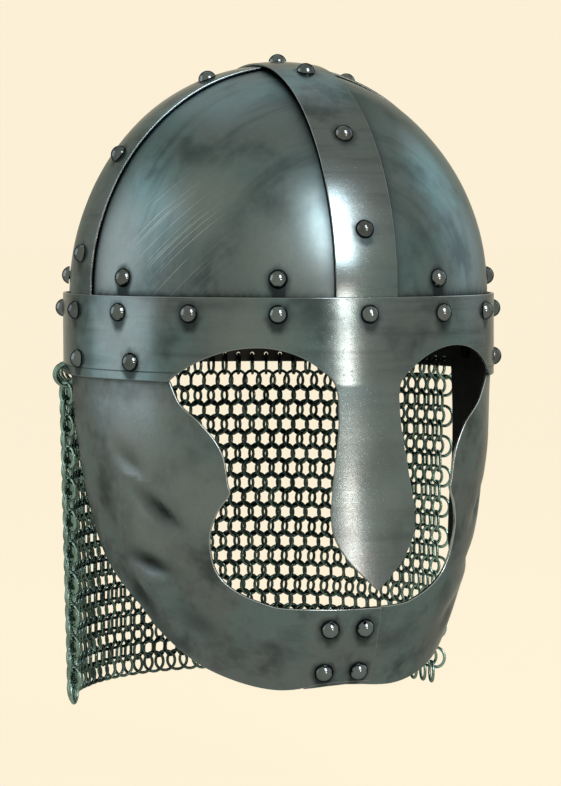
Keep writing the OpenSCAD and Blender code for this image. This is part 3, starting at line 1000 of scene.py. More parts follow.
@dataclass
class Skull:
    """Four skull plates under two crossed bands.

    A band's widths are those at the crown and at its ends, and the angles of its rivets are
    measured up the crown from the brow band.
    """

    sizes: Sizes = SIZES
    plate_thickness: float = 1.5
    band_thickness: float = 1.2
    seam: float = 0.4
    crest_widths: tuple[float, float] = (28.0, 31.0)
    cross_widths: tuple[float, float] = (28.0, 30.0)
    crest_reach: float = 123.0
    cross_reach: float = 113.5
    cross_angles: tuple[float, ...] = (10, 37, 69)
    crest_angles: tuple[float, ...] = (16, 42, 71)
    panel_rivets: int = 8
    panel_up: float = 4.31
    tip: float = 0.004
    edge_points: int = 60
    rim_points: int = 70
    band_points: int = 150
    lap_sides: tuple[float, float] = (15.0, 14.5)
    # How far the painted shade beside the bands reaches.
    shade_reach: float = 3.2

    def egg(self, size: Sequence[float], rise: float) -> Surface:
        """The crown as seen from above, spread flat from its top.

        Args:
            size: half width and half length.
            rise: height above the brow band.

        Returns:
            The surface.
        """
        base = self.sizes.brow_height

        def surface(u: np.ndarray, v: np.ndarray) -> np.ndarray:
            """Points of the crown.

            Args:
                u: flat distances from the top towards the wearer's left.
                v: flat distances from the top towards the rear.

            Returns:
                The points.
            """
            away = np.hypot(u, v) / rise
            way = np.arctan2(v, u)
            x, y = size[0] * np.sin(away) * np.cos(way), size[1] * np.sin(away) * np.sin(way)
            return np.stack([x, y, base + rise * np.cos(away)], axis=1)

        return surface

    def flattened(self, p: np.ndarray, size: Sequence[float], rise: float) -> np.ndarray:
        """Flat pattern points of points on the crown.

        Args:
            p: points on the crown.
            size: half width and half length.
            rise: height above the brow band.

        Returns:
            The pattern's points.
        """
        x, y = p[:, 0] / size[0], p[:, 1] / size[1]
        away = np.arctan2(np.hypot(x, y), (p[:, 2] - self.sizes.brow_height) / rise)
        way = np.arctan2(y, x)
        return np.stack([away * rise * np.cos(way), away * rise * np.sin(way)], axis=1)

    def plate(self, sx: int, sy: int) -> Sheet:
        """One quarter of the skull.

        Args:
            sx: -1 for the wearer's right, 1 for the left.
            sy: -1 for the front, 1 for the rear.

        Returns:
            The sheet.
        """
        size, rise = self.sizes.skull, self.sizes.skull_rise
        half = self.seam / 2
        low = math.radians(90) + math.asin(self.sizes.tuck / rise)
        away = np.linspace(self.tip, low, self.edge_points)
        seam, height = np.full(len(away), half), rise * np.cos(away)
        side = np.stack([seam, size[1] * np.sin(away), height], axis=1)
        front = np.stack([size[0] * np.sin(away), seam, height], axis=1)
        first, last = math.atan2(half, size[0]), math.pi / 2 - math.atan2(half, size[1])
        way = np.linspace(first, last, self.rim_points)[1:-1]
        x, y = size[0] * math.sin(low) * np.cos(way), size[1] * math.sin(low) * np.sin(way)
        rim = np.stack([x, y, np.full(len(way), rise * math.cos(low))], axis=1)
        loop = np.concatenate([front, rim, side[::-1]]) * np.array([sx, sy, 1.0])
        loop[:, 2] += self.sizes.brow_height
        name = f"skull_plate_{'front' if sy < 0 else 'rear'}_{'right' if sx < 0 else 'left'}"
        step = 360 / self.panel_rivets
        turns = [step / 2 + step * k for k in range(self.panel_rivets)]
        rivets = [self.sizes.crown_point(size, rise, turn, self.panel_up) for turn in turns]
        return Sheet(
            name,
            [Cut(self.flattened(loop, size, rise), worn=False)],
            self.egg(size, rise),
            self.plate_thickness,
            dents=waves(11 + sx + 2 * sy, 0.9, (26, 38, 60)),
            rivets=rivets + self.sizes.brow_rivet_places(),
            # Painted shade beside the bands and above the brow band.
            lap=self.lap,
        )

    def lap(self, p: np.ndarray) -> np.ndarray:
        """Painted shade beside a band's edge and above the brow band, by how near a point is to them.

        Args:
            p: points in millimetres.

        Returns:
            1 beside an edge, fading to 0.
        """
        x, y, z = np.abs(p[:, 0]), np.abs(p[:, 1]), p[:, 2]
        crest, cross = self.lap_sides
        near = np.minimum(np.minimum(x - crest, y - cross), (z - self.sizes.brow_height) * 2)
        return np.exp(-((np.maximum(near, 0) / self.shade_reach) ** 1.2))

    def band(self, along_front: bool) -> Sheet:
        """A crossing band.

        Args:
            along_front: True for the crest band, which runs front to back.

        Returns:
            The sheet.
        """
        size = self.sizes.band
        rise = self.sizes.crest_rise if along_front else self.sizes.cross_rise
        widths = self.crest_widths if along_front else self.cross_widths
        reach = self.crest_reach if along_front else self.cross_reach
        along, across = (size[1], size[0]) if along_front else (size[0], size[1])
        base = self.sizes.brow_height

        def surface(u: np.ndarray, v: np.ndarray) -> np.ndarray:
            """Points of the band.

            Args:
                u: distances along the band from the crown.
                v: distances beside its middle line.

            Returns:
                The points.
            """
            narrow = np.sqrt(np.maximum(1 - (v / across) ** 2, 0))
            far = along * narrow * np.sin(u / rise)
            z = base + rise * narrow * np.cos(u / rise)
            return np.stack([-v, far, z] if along_front else [far, v, z], axis=1)

        end = rise * (math.pi / 2 + math.asin(self.sizes.tuck / rise))
        u = np.linspace(-end, end, self.band_points)
        far = np.abs(along * np.sin(u / rise))
        half = (widths[0] + (widths[1] - widths[0]) * far / reach) / 2
        loop = np.concatenate([np.stack([u, -half], axis=1), np.stack([u, half], axis=1)[::-1]])
        turns = (90, 270) if along_front else (0, 180)
        angles = self.crest_angles if along_front else self.cross_angles
        rivets = [self.sizes.crown_point(size, rise, turn, up) for turn in turns for up in angles]
        rivets.append(np.array([0.0, 0.0, base + rise]))
        return Sheet(
            "crest_strap" if along_front else "cross_strap",
            [Cut(loop)],
            surface,
            self.band_thickness,
            rim=0.45,
            grid=2.8,
            dents=waves(31 + along_front, 0.35, (24, 40)),
            rivets=rivets,
        )

    def build(self, materials: dict) -> None:
        """Makes and dresses the skull.

        Args:
            materials: the finishes by slot.
        """
        for sx in (-1, 1):
            for sy in (-1, 1):
                sheet = self.plate(sx, sy)
                node = sheet.name.replace("skull_plate", "dome_plate")
                dress(sheet.mesh(), Slot.SKULL, materials, HELMET, node)
        dress(self.band(True).mesh(), Slot.BAND, materials, HELMET, "crest_band")
        dress(self.band(False).mesh(), Slot.BAND, materials, HELMET, "cross_band")


@dataclass
class Brow:
    """Brow band with its eye arches, nose guard and hanging holes, in one sheet.

    The nose is half of the guard's edge, as distances from the centre line and heights.
    """

    sizes: Sizes = SIZES
    thickness: float = 1.5
    arch_radius: float = 41.0
    arch_centre: tuple[float, float] = (49.5, -25.0)
    arch_reach: float = 82.0
    lean: float = 0.11
    pattern_radius: float = 108.0
    seam_degrees: float = 181.95
    hole_height: float = 4.0
    hole_diameter: float = 2.1
    half_columns: int = 20
    span: float = 77.9
    nose_top: float = 22.2
    nose: tuple[tuple[float, float], ...] = (
        (22, 6.2), (17, 0.6), (15.5, -4), (15.2, -9), (15.8, -22), (19.3, -45.8), (20.7, -60.8),
        (19.3, -70.1), (13.6, -79.9), (5.5, -88.4), (0, -93.5),
    )
    lower_rivet_turns: tuple[float, float] = (2, 27)
    lower_rivet_height: float = 8.4
    arch_points: int = 34
    rear_points: int = 14
    nose_steps: int = 5

    def surface(self, u: np.ndarray, v: np.ndarray) -> np.ndarray:
        """Outer face: the upright oval, leaning forward below the band.

        Args:
            u: distance round the band from the front.
            v: height.

        Returns:
            The points.
        """
        way = u / self.pattern_radius
        w, l = self.sizes.brow
        return np.stack([w * np.sin(way), -l * np.cos(way) + self.lean * np.minimum(v, 0), v], axis=1)

    def across(self, x: np.ndarray) -> np.ndarray:
        """Pattern distance of a place given by its distance from the centre line."""
        return self.pattern_radius * np.arcsin(np.asarray(x) / self.sizes.brow[0])

    def outline(self) -> Cut:
        """The band's outer edge.

        Returns:
            The edge, with the rear join marked as a seam.
        """
        cx, cz = self.arch_centre
        x = np.linspace(self.arch_reach, self.nose_top, self.arch_points)
        arch = np.stack([x, cz + np.sqrt(self.arch_radius**2 - (x - cx) ** 2)], axis=1)
        nose = smooth_curve(self.nose, self.nose_steps)
        half = np.concatenate([arch, nose[nose[:, 0] < self.nose_top - 1]])
        other = half[:-1][::-1] * np.array([-1.0, 1.0])
        front = np.concatenate([half, other])[::-1]
        right = self.pattern_radius * math.radians(self.seam_degrees)
        left = right - self.pattern_radius * 2 * math.pi
        bottom = np.stack([self.across(front[:, 0]), front[:, 1]], axis=1)
        rise = np.linspace(0, self.sizes.brow_height, self.rear_points)
        up = np.stack([np.full(len(rise), right), rise], axis=1)
        down = np.stack([np.full(len(rise), left), rise[::-1]], axis=1)
        points = np.concatenate([bottom, up, down])
        seams = np.zeros(len(points), bool)
        for first in (len(bottom), len(bottom) + len(rise)):
            seams[first : first + len(rise) - 1] = True
        return Cut(points, seams)

    def holes(self) -> list[Cut]:
        """The hanging holes along the rear rim.

        Returns:
            One edge for each hole.
        """
        cuts = []
        right = self.pattern_radius * math.radians(self.seam_degrees)
        middle = tuple(size - self.thickness / 2 for size in self.sizes.brow)
        r = self.hole_diameter / 2
        for c in range(-self.half_columns, self.half_columns + 1):
            angle = oval_angle(90 + c * self.span / self.half_columns, middle)
            u = self.pattern_radius * math.radians(90 + angle)
            if u > right:
                u -= self.pattern_radius * 2 * math.pi
            edge = np.stack([u + r * np.cos(TWELFTHS), self.hole_height + r * np.sin(TWELFTHS)], axis=1)
            cuts.append(Cut(edge, worn=False))
        return cuts

    def build(self, materials: dict) -> None:
        """Makes and dresses the band.

        Args:
            materials: the finishes by slot.
        """
        rivets = self.sizes.brow_rivet_places()
        for turn in self.lower_rivet_turns:
            p = self.sizes.brow_point(-turn, self.lower_rivet_height)
            rivets += [p, p * np.array([-1, 1, 1])]
        sheet = Sheet(
            "brow_and_nose_guard",
            [self.outline(), *self.holes()],
            self.surface,
            self.thickness,
            grid=3.0,
            dents=waves(7, 0.25, (22, 36)),
            rivets=rivets,
        )
        dress(sheet.mesh(), Slot.BAND, materials, HELMET, "brow_band")


@dataclass
class CheekPlate:
    """A cheek plate: part of a leaning barrel, trimmed by the face opening.

    An arc of the barrel has its centre, its rise, its radius and the depth where it ends. The
    opening is seen from the front and the rear edge from the side. A flare is a growth over a
    height. A hollow has its place from the side, its turn, half length, half width and depth.
    """

    side: Side
    lean: float
    end_x: float
    thickness: float = 1.5
    ratio: float = 1.09188
    top: float = 15.0
    pattern_radius: float = 98.0
    opening_shift: float = -5.0
    opening_depth: float = 104.6
    arcs: tuple[tuple[float, float, float, float], ...] = (
        (-243.1, 0.0, 345.0, 96.6),
        (-233.5, -2.8, 335.0, 103.49),
        (-223.6, -5.92, 324.62, 400.0),
    )
    opening: tuple[tuple[float, float], ...] = (
        (81, 1), (75, -10), (64.5, -20), (57.5, -32), (55, -46), (54.2, -51), (58.5, -60), (60.3, -72),
        (57, -87), (49, -96), (36, -102.2), (26, -104), (0, -104.6),
    )
    rear: tuple[tuple[float, float], ...] = (
        (14, 0), (9.5, -27), (4, -60), (-4, -84), (-18, -98.5), (-31, -110), (-42, -121), (-52, -130.5),
        (-62, -137), (-75, -143), (-82, -143.5), (-89, -140), (-100, -139),
    )
    opening_flare: tuple[float, float] = (6.0, 19.0)
    rear_flare: tuple[float, float] = (1.5, 20.0)
    chin_rivets: tuple[tuple[float, ...], tuple[float, ...]] = ((-12.5, 4.5), (114.0, 135.0))
    chin: float = -140.0
    shift_ramp: float = 20.0
    opening_steps: int = 5
    rear_steps: int = 6
    end_points: int = 8
    hollow_depth: float = 2.7
    hollows: tuple[tuple[float, float, float, float, float, float], ...] = (
        (-58, -60, 40, 13, 4.6, 1.0), (-45, -85.5, 15, 15, 5.2, 1.0), (-44, -38, 37, 9, 5.0, 0.5),
        (-31, -103, 42, 12, 6.0, 0.8), (-62, -112, 38, 12, 7.0, 0.6), (-20, -62, 60, 14, 7.0, 0.4),
    )

    def half_width(self, z: np.ndarray) -> np.ndarray:
        """Half width of the barrel at a height.

        Args:
            z: height, below zero under the brow band.

        Returns:
            The half width.
        """
        d = -np.asarray(z, float)
        width = None
        for centre, rise, radius, limit in reversed(self.arcs):
            here = centre + np.sqrt(np.maximum(radius**2 - (d + rise) ** 2, 0))
            width = here if width is None else np.where(d <= limit, here, width)
        return width

    def surface(self, u: np.ndarray, v: np.ndarray) -> np.ndarray:
        """Outer face.

        Args:
            u: distance round the barrel from the front.
            v: height.

        Returns:
            The points.
        """
        way = u / self.pattern_radius
        w = self.half_width(v)
        return np.stack([w * np.sin(way), -self.ratio * w * np.cos(way) + self.lean * v, v], axis=1)

    def from_front(self, x: np.ndarray, z: np.ndarray) -> np.ndarray:
        """Pattern points of places seen from the front.

        Args:
            x: distances to the wearer's left.
            z: heights.

        Returns:
            The pattern's points.
        """
        way = np.arcsin(np.clip(x / self.half_width(z), -1, 1))
        return np.stack([self.pattern_radius * way, z], axis=1)

    def outline(self) -> Cut:
        """The plate's edge.

        Returns:
            The closed edge.
        """
        s = self.side.value
        q = smooth_curve(self.opening, self.opening_steps)
        x = s * q[:, 0] + self.opening_shift * np.clip(-q[:, 1] / self.shift_ramp, 0, 1)
        (widest, highest), (wider, over) = self.opening[0], self.opening_flare
        corner = [[s * (widest + wider * (self.top - highest) / over), self.top]]
        end = [[self.end_x, -self.opening_depth]]
        face = np.concatenate([corner, np.stack([x, q[:, 1]], axis=1), end])
        face = self.from_front(face[:, 0], face[:, 1])
        curve = smooth_curve(self.rear, self.rear_steps)
        reach = (self.lean * curve[:, 1] - curve[:, 0]) / (self.ratio * self.half_width(curve[:, 1]))
        last = int(np.argmax(reach > 1))
        share = (1 - reach[last - 1]) / (reach[last] - reach[last - 1])
        low = curve[last - 1] + (curve[last] - curve[last - 1]) * share
        (wider, over), half = self.rear_flare, self.half_width(np.array([self.top, self.chin]))
        set_back = self.rear[0][0] + wider * self.top / over
        rear_top = (self.lean * self.top - set_back) / (self.ratio * half[0])
        angles = np.concatenate([[math.acos(rear_top)], np.arccos(np.clip(reach[:last], -1, 1)), [0.0]])
        heights = np.concatenate([[self.top], curve[:last, 1], [low[1]]])
        lower = np.stack([s * self.pattern_radius * angles, heights], axis=1)
        order = np.argsort(angles)
        turned = np.linspace(0, math.asin(abs(self.end_x) / float(half[1])), self.end_points)[1:]
        height = np.interp(turned, angles[order], heights[order])
        beyond = np.stack([-s * self.pattern_radius * turned, height], axis=1)
        loop = np.concatenate([face, beyond[::-1], lower[::-1]])
        return Cut(loop)

    def dents(self, p: np.ndarray) -> np.ndarray:
        """Hammer marks and the long hollows, fading out under the brow band.

        Args:
            p: points on the plate.

        Returns:
            Displacement along the normal.
        """
        marks = waves(50 + self.side.value, 1.0, (22, 34, 50))(p)
        return (marks - self.hollow_depth * self.hollowed(p)) * np.clip((4 - p[:, 2]) / 12, 0, 1)

    def hollowed(self, p: np.ndarray) -> np.ndarray:
        """Long hollows left by the hammer, low on the cheek.

        Args:
            p: points on the plate.

        Returns:
            1 at the bottom of a hollow, fading to 0.
        """
        depth = np.zeros(len(p))
        for y, z, turn, length, width, share in self.hollows:
            a = math.radians(turn)
            along = (p[:, 1] - y) * math.cos(a) + (p[:, 2] - z) * math.sin(a)
            across = (p[:, 2] - z) * math.cos(a) - (p[:, 1] - y) * math.sin(a)
            depth = np.maximum(depth, share * np.exp(-((along / length) ** 2) - (across / width) ** 2))
        return depth

    def darkening(self, p: np.ndarray) -> np.ndarray:
        """Painted shade in the hollows and a painted shadow along the brow band's lower edge.

        Args:
            p: points on the plate.

        Returns:
            1 where it is thickest, fading to 0.
        """
        # A painted shadow just under the brow band's lower edge.
        shadow_under_band = np.exp(-((np.maximum(-p[:, 2], 0) / 1.5) ** 2))
        # Painted shade, darkest in the deepest hollows.
        return np.maximum(1.3 * self.hollowed(p) ** 1.4, shadow_under_band)

    def rivets(self) -> list[np.ndarray]:
        """Places of the chin rivets.

        Returns:
            One point for each rivet.
        """
        across, down = self.chin_rivets
        x, z = (grid.ravel() for grid in np.meshgrid(across, -np.array(down), indexing="ij"))
        return list(self.surface(*self.from_front(x, z).T))

    def build(self, materials: dict) -> None:
        """Makes and dresses the plate.

        Args:
            materials: the finishes by slot.
        """
        side = self.side.name.lower()
        sheet = Sheet(
            f"cheek_guard_{side}",
            [self.outline()],
            self.surface,
            self.thickness,
            dents=self.dents,
            rivets=self.rivets(),
            # Painted shade in the hollows and under the brow band.
            lap=self.darkening,
        )
        dress(sheet.mesh(), Slot.CHEEK, materials, HELMET, f"cheek_plate_{side}")


# Mail


@dataclass
class Mail:
    """A curtain of linked rings, hung from rings through the rear rim.

    The rim and the hem are the ovals of the first and the last row, and the spans are how far
    each row reaches round them to one side, in degrees. Below the top rows, the columns within
    back swing with the panel.
    """

    ring_radius: float = 5.1
    wire_radius: float = 0.8
    half_columns: int = 20
    rows: int = 20
    pitch: float = 7.7
    turn: float = 24.0
    rim: tuple[float, float] = (102.75, 112.25)
    hem: tuple[float, float] = (98.5, 116.0)
    spans: tuple[float, float] = (77.9, 77.0)
    hang_z: float = -1.1
    first_row_z: float = -9.85
    back: float = 7.75
    quarter: float = 14.75
    top_rows: int = 3
    around: int = 20
    section: int = 7
    top_z: float = -4.0
    panel_z: float = -29.0
    sway: float = 1.2
    out_of_round: float = 0.008
    tone_by_chance: float = 0.35

    def place(self, column: float, row: int, turn: float) -> tuple[np.ndarray, float]:
        """Where a ring hangs.

        Args:
            column: column number, 0 at the back's middle, above 0 on the wearer's right.
            row: row number, 0 for the hanging rings.
            turn: the ring's turn out of the curtain, in degrees.

        Returns:
            The ring's centre and the direction of its axis in radians.
        """
        t = row / self.rows
        w = self.rim[0] + (self.hem[0] - self.rim[0]) * t
        l = self.rim[1] + (self.hem[1] - self.rim[1]) * t
        span = self.spans[0] + (self.spans[1] - self.spans[0]) * t
        a = math.radians(oval_angle(90 + column * span / self.half_columns, (w, l)))
        z = self.hang_z if row == 0 else self.first_row_z - (row - 1) * self.pitch
        centre = np.array([w * math.cos(a), l * math.sin(a), z])
        return centre, math.atan2(math.sin(a) / l, math.cos(a) / w) + math.radians(turn)

    def ring(self, centre: np.ndarray, way: float, draw: random.Random) -> np.ndarray:
        """Points of one ring.

        Args:
            centre: its centre.
            way: direction of its axis.
            draw: source of small hand-made differences.

        Returns:
            The ring's points, section by section.
        """
        way += math.radians(draw.uniform(-self.sway, self.sway))
        axis = np.array([math.cos(way), math.sin(way), math.radians(draw.uniform(-self.sway, self.sway))])
        axis /= np.linalg.norm(axis)
        side = np.array([-math.sin(way), math.cos(way), 0.0])
        up = np.cross(axis, side)
        start = draw.uniform(0, 2 * math.pi)
        k = start + np.arange(self.around) * 2 * math.pi / self.around
        b = np.arange(self.section) * 2 * math.pi / self.section
        radius = self.ring_radius * (1 + self.out_of_round * np.cos(2 * (k - start)))
        out = (np.cos(k)[:, None] * side + np.sin(k)[:, None] * up)[:, None, :]
        ring = radius[:, None, None] * out
        wire = self.wire_radius * (np.cos(b)[None, :, None] * out + np.sin(b)[None, :, None] * axis)
        return (centre + ring + wire).reshape(-1, 3)

    def piece(self, name: str, places: Sequence[tuple[float, int, float]]) -> bpy.types.Object:
        """Makes a group of rings.

        Args:
            name: the piece's name.
            places: column, row and turn of each ring.

        Returns:
            The new object.
        """
        draw = random.Random(name)
        n, m = self.around, self.section
        i, j = np.meshgrid(np.arange(n), np.arange(m), indexing="ij")
        after, beside = (i + 1) % n, (j + 1) % m
        corners = [i * m + j, after * m + j, after * m + beside, i * m + beside]
        one = np.stack(corners, axis=-1).reshape(-1, 4)
        points, faces, tones = [], [], []
        for number, (column, row, turn) in enumerate(places):
            points.append(self.ring(*self.place(column, row, turn), draw))
            faces.append(one + number * n * m)
            # Lighter towards the flanks: painted shade keeps the back's rings dark, as in the helmet's shade;
            # the rest of each tone is random.
            outer = (1 - self.tone_by_chance) * (abs(column) / self.half_columns) ** 4
            tones.append(np.full(n * m, self.tone_by_chance * draw.random() + outer))
        marks = {"tone": np.concatenate(tones)}
        return make_object(name, np.concatenate(points), np.concatenate(faces).tolist(), None, marks)

    def rings(self, first_row: int, last_row: int, low: float, high: float) -> list[tuple[float, int, float]]:
        """Rings of a part of the curtain.

        Args:
            first_row: its first row.
            last_row: its last row.
            low: columns above this one.
            high: columns below this one.

        Returns:
            Column, row and turn of each ring.
        """
        found = []
        for row in range(first_row, last_row + 1):
            even = row % 2 == 0
            c = -self.half_columns + (0.5 if even else 0.0)
            while c <= self.half_columns:
                if low < c < high:
                    found.append((c, row, -self.turn if even else self.turn))
                c += 1
        return found

    def build(self, materials: dict) -> None:
        """Makes and dresses the curtain.

        Args:
            materials: the finishes by slot.
        """
        hanging = [(float(c), 0, 90.0) for c in range(-self.half_columns, self.half_columns + 1)]
        dress(self.piece("hanging_row", hanging), Slot.MAIL, materials, HELMET, "hanging_rings")
        panel = self.piece("mail_panel", self.rings(self.top_rows + 1, self.rows, -self.back, self.back))
        dress(panel, Slot.MAIL, materials, PANEL, "mail_back")
        bend = self.piece("mail_bend", self.rings(1, self.top_rows, -self.back, self.back))
        dress(bend, Slot.MAIL, materials, None, "mail_back_top")
        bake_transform(bend)
        for side in Side:
            self.build_side(materials, side)

    def build_side(self, materials: dict, side: Side) -> None:
        """Makes one side's flank and its quarter.

        Args:
            materials: the finishes by slot.
            side: the side.
        """
        s, name = -side.value, side.name.lower()
        low, high = sorted((s * self.quarter, s * (self.half_columns + 1.0)))
        flank = self.piece(f"mail_flank_{name}", self.rings(1, self.rows, low, high))
        dress(flank, Slot.MAIL, materials, HELMET, f"mail_side_{name}")
        low, high = sorted((s * self.back, s * self.quarter))
        outer, inner = (
            self.place(s * column, 0, 0)[0] * np.array([1, 1, 0]) * MM for column in (self.quarter, self.back)
        )
        lower = self.piece(f"mail_quarter_low_{name}", self.rings(self.top_rows + 1, self.rows, low, high))
        dress(lower, Slot.MAIL, materials, None, f"mail_quarter_{name}")
        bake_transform(lower)
        upper = self.piece(f"mail_quarter_top_{name}", self.rings(1, self.top_rows, low, high))
        dress(upper, Slot.MAIL, materials, None, f"mail_quarter_{name}")
        slope = (inner - outer) / np.sum((inner - outer) ** 2)
        slope = slope + np.array([0, 0, 1 / ((self.panel_z - self.top_z) * MM)])
        start = inner + np.array([0, 0, self.top_z * MM])
        tuple(start + slope / np.sum(slope**2))
        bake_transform(upper)


# Liner


@dataclass
class Liner:
    """Leather liner slit into eight tongues, drawn together by a lace through their hems."""

    sizes: Sizes = SIZES
    size: tuple[float, float] = (98.8, 107.762)
    crown: float = 88.0
    thickness: float = 2.2
    low: float = 39.5
    band_top: float = 53.5
    tongues: int = 8
    slit: float = 10.0
    slit_step: float = 0.25
    lace_radius: float = 28.0
    hem_radius: float = 3.05
    hem_end: float = 0.72
    lace_thickness: float = 2.2
    lace_wobble: float = 0.25
    rim_points: int = 180
    slit_points: int = 36
    hem_points: int = 14
    tongue_points: int = 8
    lace_points: int = 120

    def slot_side(self, turn: float, offset: float) -> np.ndarray:
        """One side of a slit, from the crown outward.

        Args:
            turn: the slit's direction in degrees.
            offset: distance from its middle line.

        Returns:
            Points in plan.
        """
        a = math.radians(turn)
        way, beside = np.array([math.cos(a), math.sin(a)]), np.array([-math.sin(a), math.cos(a)])
        limit = math.sqrt(1 - ((self.band_top - self.sizes.brow_height) / self.crown) ** 2)
        near = math.sqrt(self.lace_radius**2 - offset**2)
        far = near
        while np.hypot(*((way * far + beside * offset) / np.array(self.size))) < limit:
            far += self.slit_step
        return np.array([way * d + beside * offset for d in np.linspace(near, far, self.slit_points)])

    def pattern(self, plan: np.ndarray) -> np.ndarray:
        """Flat pattern points of places in plan.

        Args:
            plan: x and y on the liner.

        Returns:
            The pattern's points.
        """
        scaled = plan / np.array(self.size)
        away = np.arcsin(np.clip(np.hypot(scaled[:, 0], scaled[:, 1]), 0, 1))
        way = np.arctan2(scaled[:, 1], scaled[:, 0])
        return np.stack([away * self.crown * np.cos(way), away * self.crown * np.sin(way)], axis=1)

    def build(self, materials: dict) -> None:
        """Makes and dresses the liner, its hems and the lace.

        Args:
            materials: the finishes by slot.
        """
        round_angles = np.linspace(0, 2 * math.pi, self.rim_points + 1)[:-1]
        away = math.acos((self.low - self.sizes.brow_height) / self.crown) * self.crown
        outer = np.stack([away * np.cos(round_angles), away * np.sin(round_angles)], axis=1)
        tongue = 360 // self.tongues
        gap = math.degrees(math.asin(self.slit / 2 / self.lace_radius))
        inner = []
        for turn in range(0, 360, tongue):
            inner.append(self.slot_side(turn, -self.slit / 2))
            inner.append(self.slot_side(turn, self.slit / 2)[::-1])
            arc = np.radians(np.linspace(turn + gap, turn + tongue - gap, self.tongue_points)[1:-1])
            inner.append(self.lace_radius * np.stack([np.cos(arc), np.sin(arc)], axis=1))
        sheet = Sheet(
            "liner_tongues",
            [Cut(outer), Cut(self.pattern(np.concatenate(inner)))],
            Skull().egg(self.size, self.crown),
            self.thickness,
            rim=0.8,
            grid=4.5,
            edge_step=3.0,
            dents=waves(90, 1.2, (30, 46)),
        )
        dress(sheet.mesh(), Slot.LINER, materials, HELMET, "leather_liner")
        flatness = math.sqrt(1 - (self.lace_radius / self.size[0]) ** 2)
        level = self.sizes.brow_height + (self.crown - self.thickness / 2) * flatness
        hems = []
        for turn in range(0, 360, tongue):
            turns = np.radians(np.linspace(turn + gap, turn + tongue - gap, self.hem_points))
            hems.append(self.tube(level, turns, self.hem_radius, 0.0))
        dress(joined_tubes("liner_hems", hems), Slot.LINER, materials, HELMET)
        turns = np.linspace(0, 2 * math.pi, self.lace_points + 1)
        lace = self.tube(level, turns, self.lace_thickness / 2, self.lace_wobble)
        dress(joined_tubes("crown_lace", [lace]), Slot.LACE, materials, HELMET, "liner_lace")

    def tube(self, level: float, turns: np.ndarray, radius: float, wobble: float) -> tuple[np.ndarray, bool]:
        """Rings of points along the lace's circle.

        Args:
            level: height of the circle.
            turns: where the rings stand, in radians.
            radius: the tube's radius.
            wobble: how far it strays.

        Returns:
            The rings, and whether the tube closes on itself.
        """
        closed = abs(turns[-1] - turns[0] - 2 * math.pi) < 1e-6
        turns = turns[:-1] if closed else turns
        up = np.array([0, 0, 1.0])
        rings = []
        for index, a in enumerate(turns):
            end = not closed and index in (0, len(turns) - 1)
            r = radius * (self.hem_end if end else 1.0)
            out = np.array([math.cos(a), math.sin(a), 0.0])
            height = np.array([0, 0, level + wobble * math.cos(5 * a)])
            centre = out * (self.lace_radius + wobble * math.sin(7 * a)) + height
            rings.append(centre + r * (np.cos(TWELFTHS)[:, None] * out + np.sin(TWELFTHS)[:, None] * up))
        return np.array(rings), closed


def joined_tubes(name: str, tubes: Sequence[tuple[np.ndarray, bool]]) -> bpy.types.Object:
    """Writes tubes as one object.

    Args:
        name: the piece's name.
        tubes: rings of points, and whether each tube closes on itself.

    Returns:
        The new object.
    """
    points, faces, start = [], [], 0
    for rings, closed in tubes:
        n, m = rings.shape[:2]
        points.append(rings.reshape(-1, 3))
        for i in range(n if closed else n - 1):
            for j in range(m):
                a, b = start + i * m, start + ((i + 1) % n) * m
                faces.append((a + (j + 1) % m, b + (j + 1) % m, b + j, a + j))
        if not closed:
            faces.append(tuple(range(start, start + m))[::-1])
            faces.append(tuple(range(start + (n - 1) * m, start + n * m)))
        start += n * m
    return make_object(name, np.concatenate(points), faces)


# Studio


@dataclass(frozen=True)
class Lamp:
    """A soft rectangular lamp that looks at the helmet."""

    place: tuple[float, float, float]
    size: tuple[float, float]
    power: float
    tint: Colour = (1.0, 1.0, 1.0)
    aim: tuple[float, float, float] = (0.0, 0.0, 0.03)

    def build(self, name: str) -> None:
        """Makes the lamp.

        Args:
            name: the lamp's name.
        """
        lamp = bpy.data.lights.new(name, "AREA")
        lamp.shape = "RECTANGLE"
        lamp.size, lamp.size_y = self.size
        lamp.energy = self.power
        lamp.color = self.tint
        made = bpy.data.objects.new(name, lamp)
        made.location = self.place
        made.rotation_euler = (Vector(self.aim) - Vector(self.place)).to_track_quat("-Z", "Y").to_euler()
        bpy.context.scene.collection.objects.link(made)


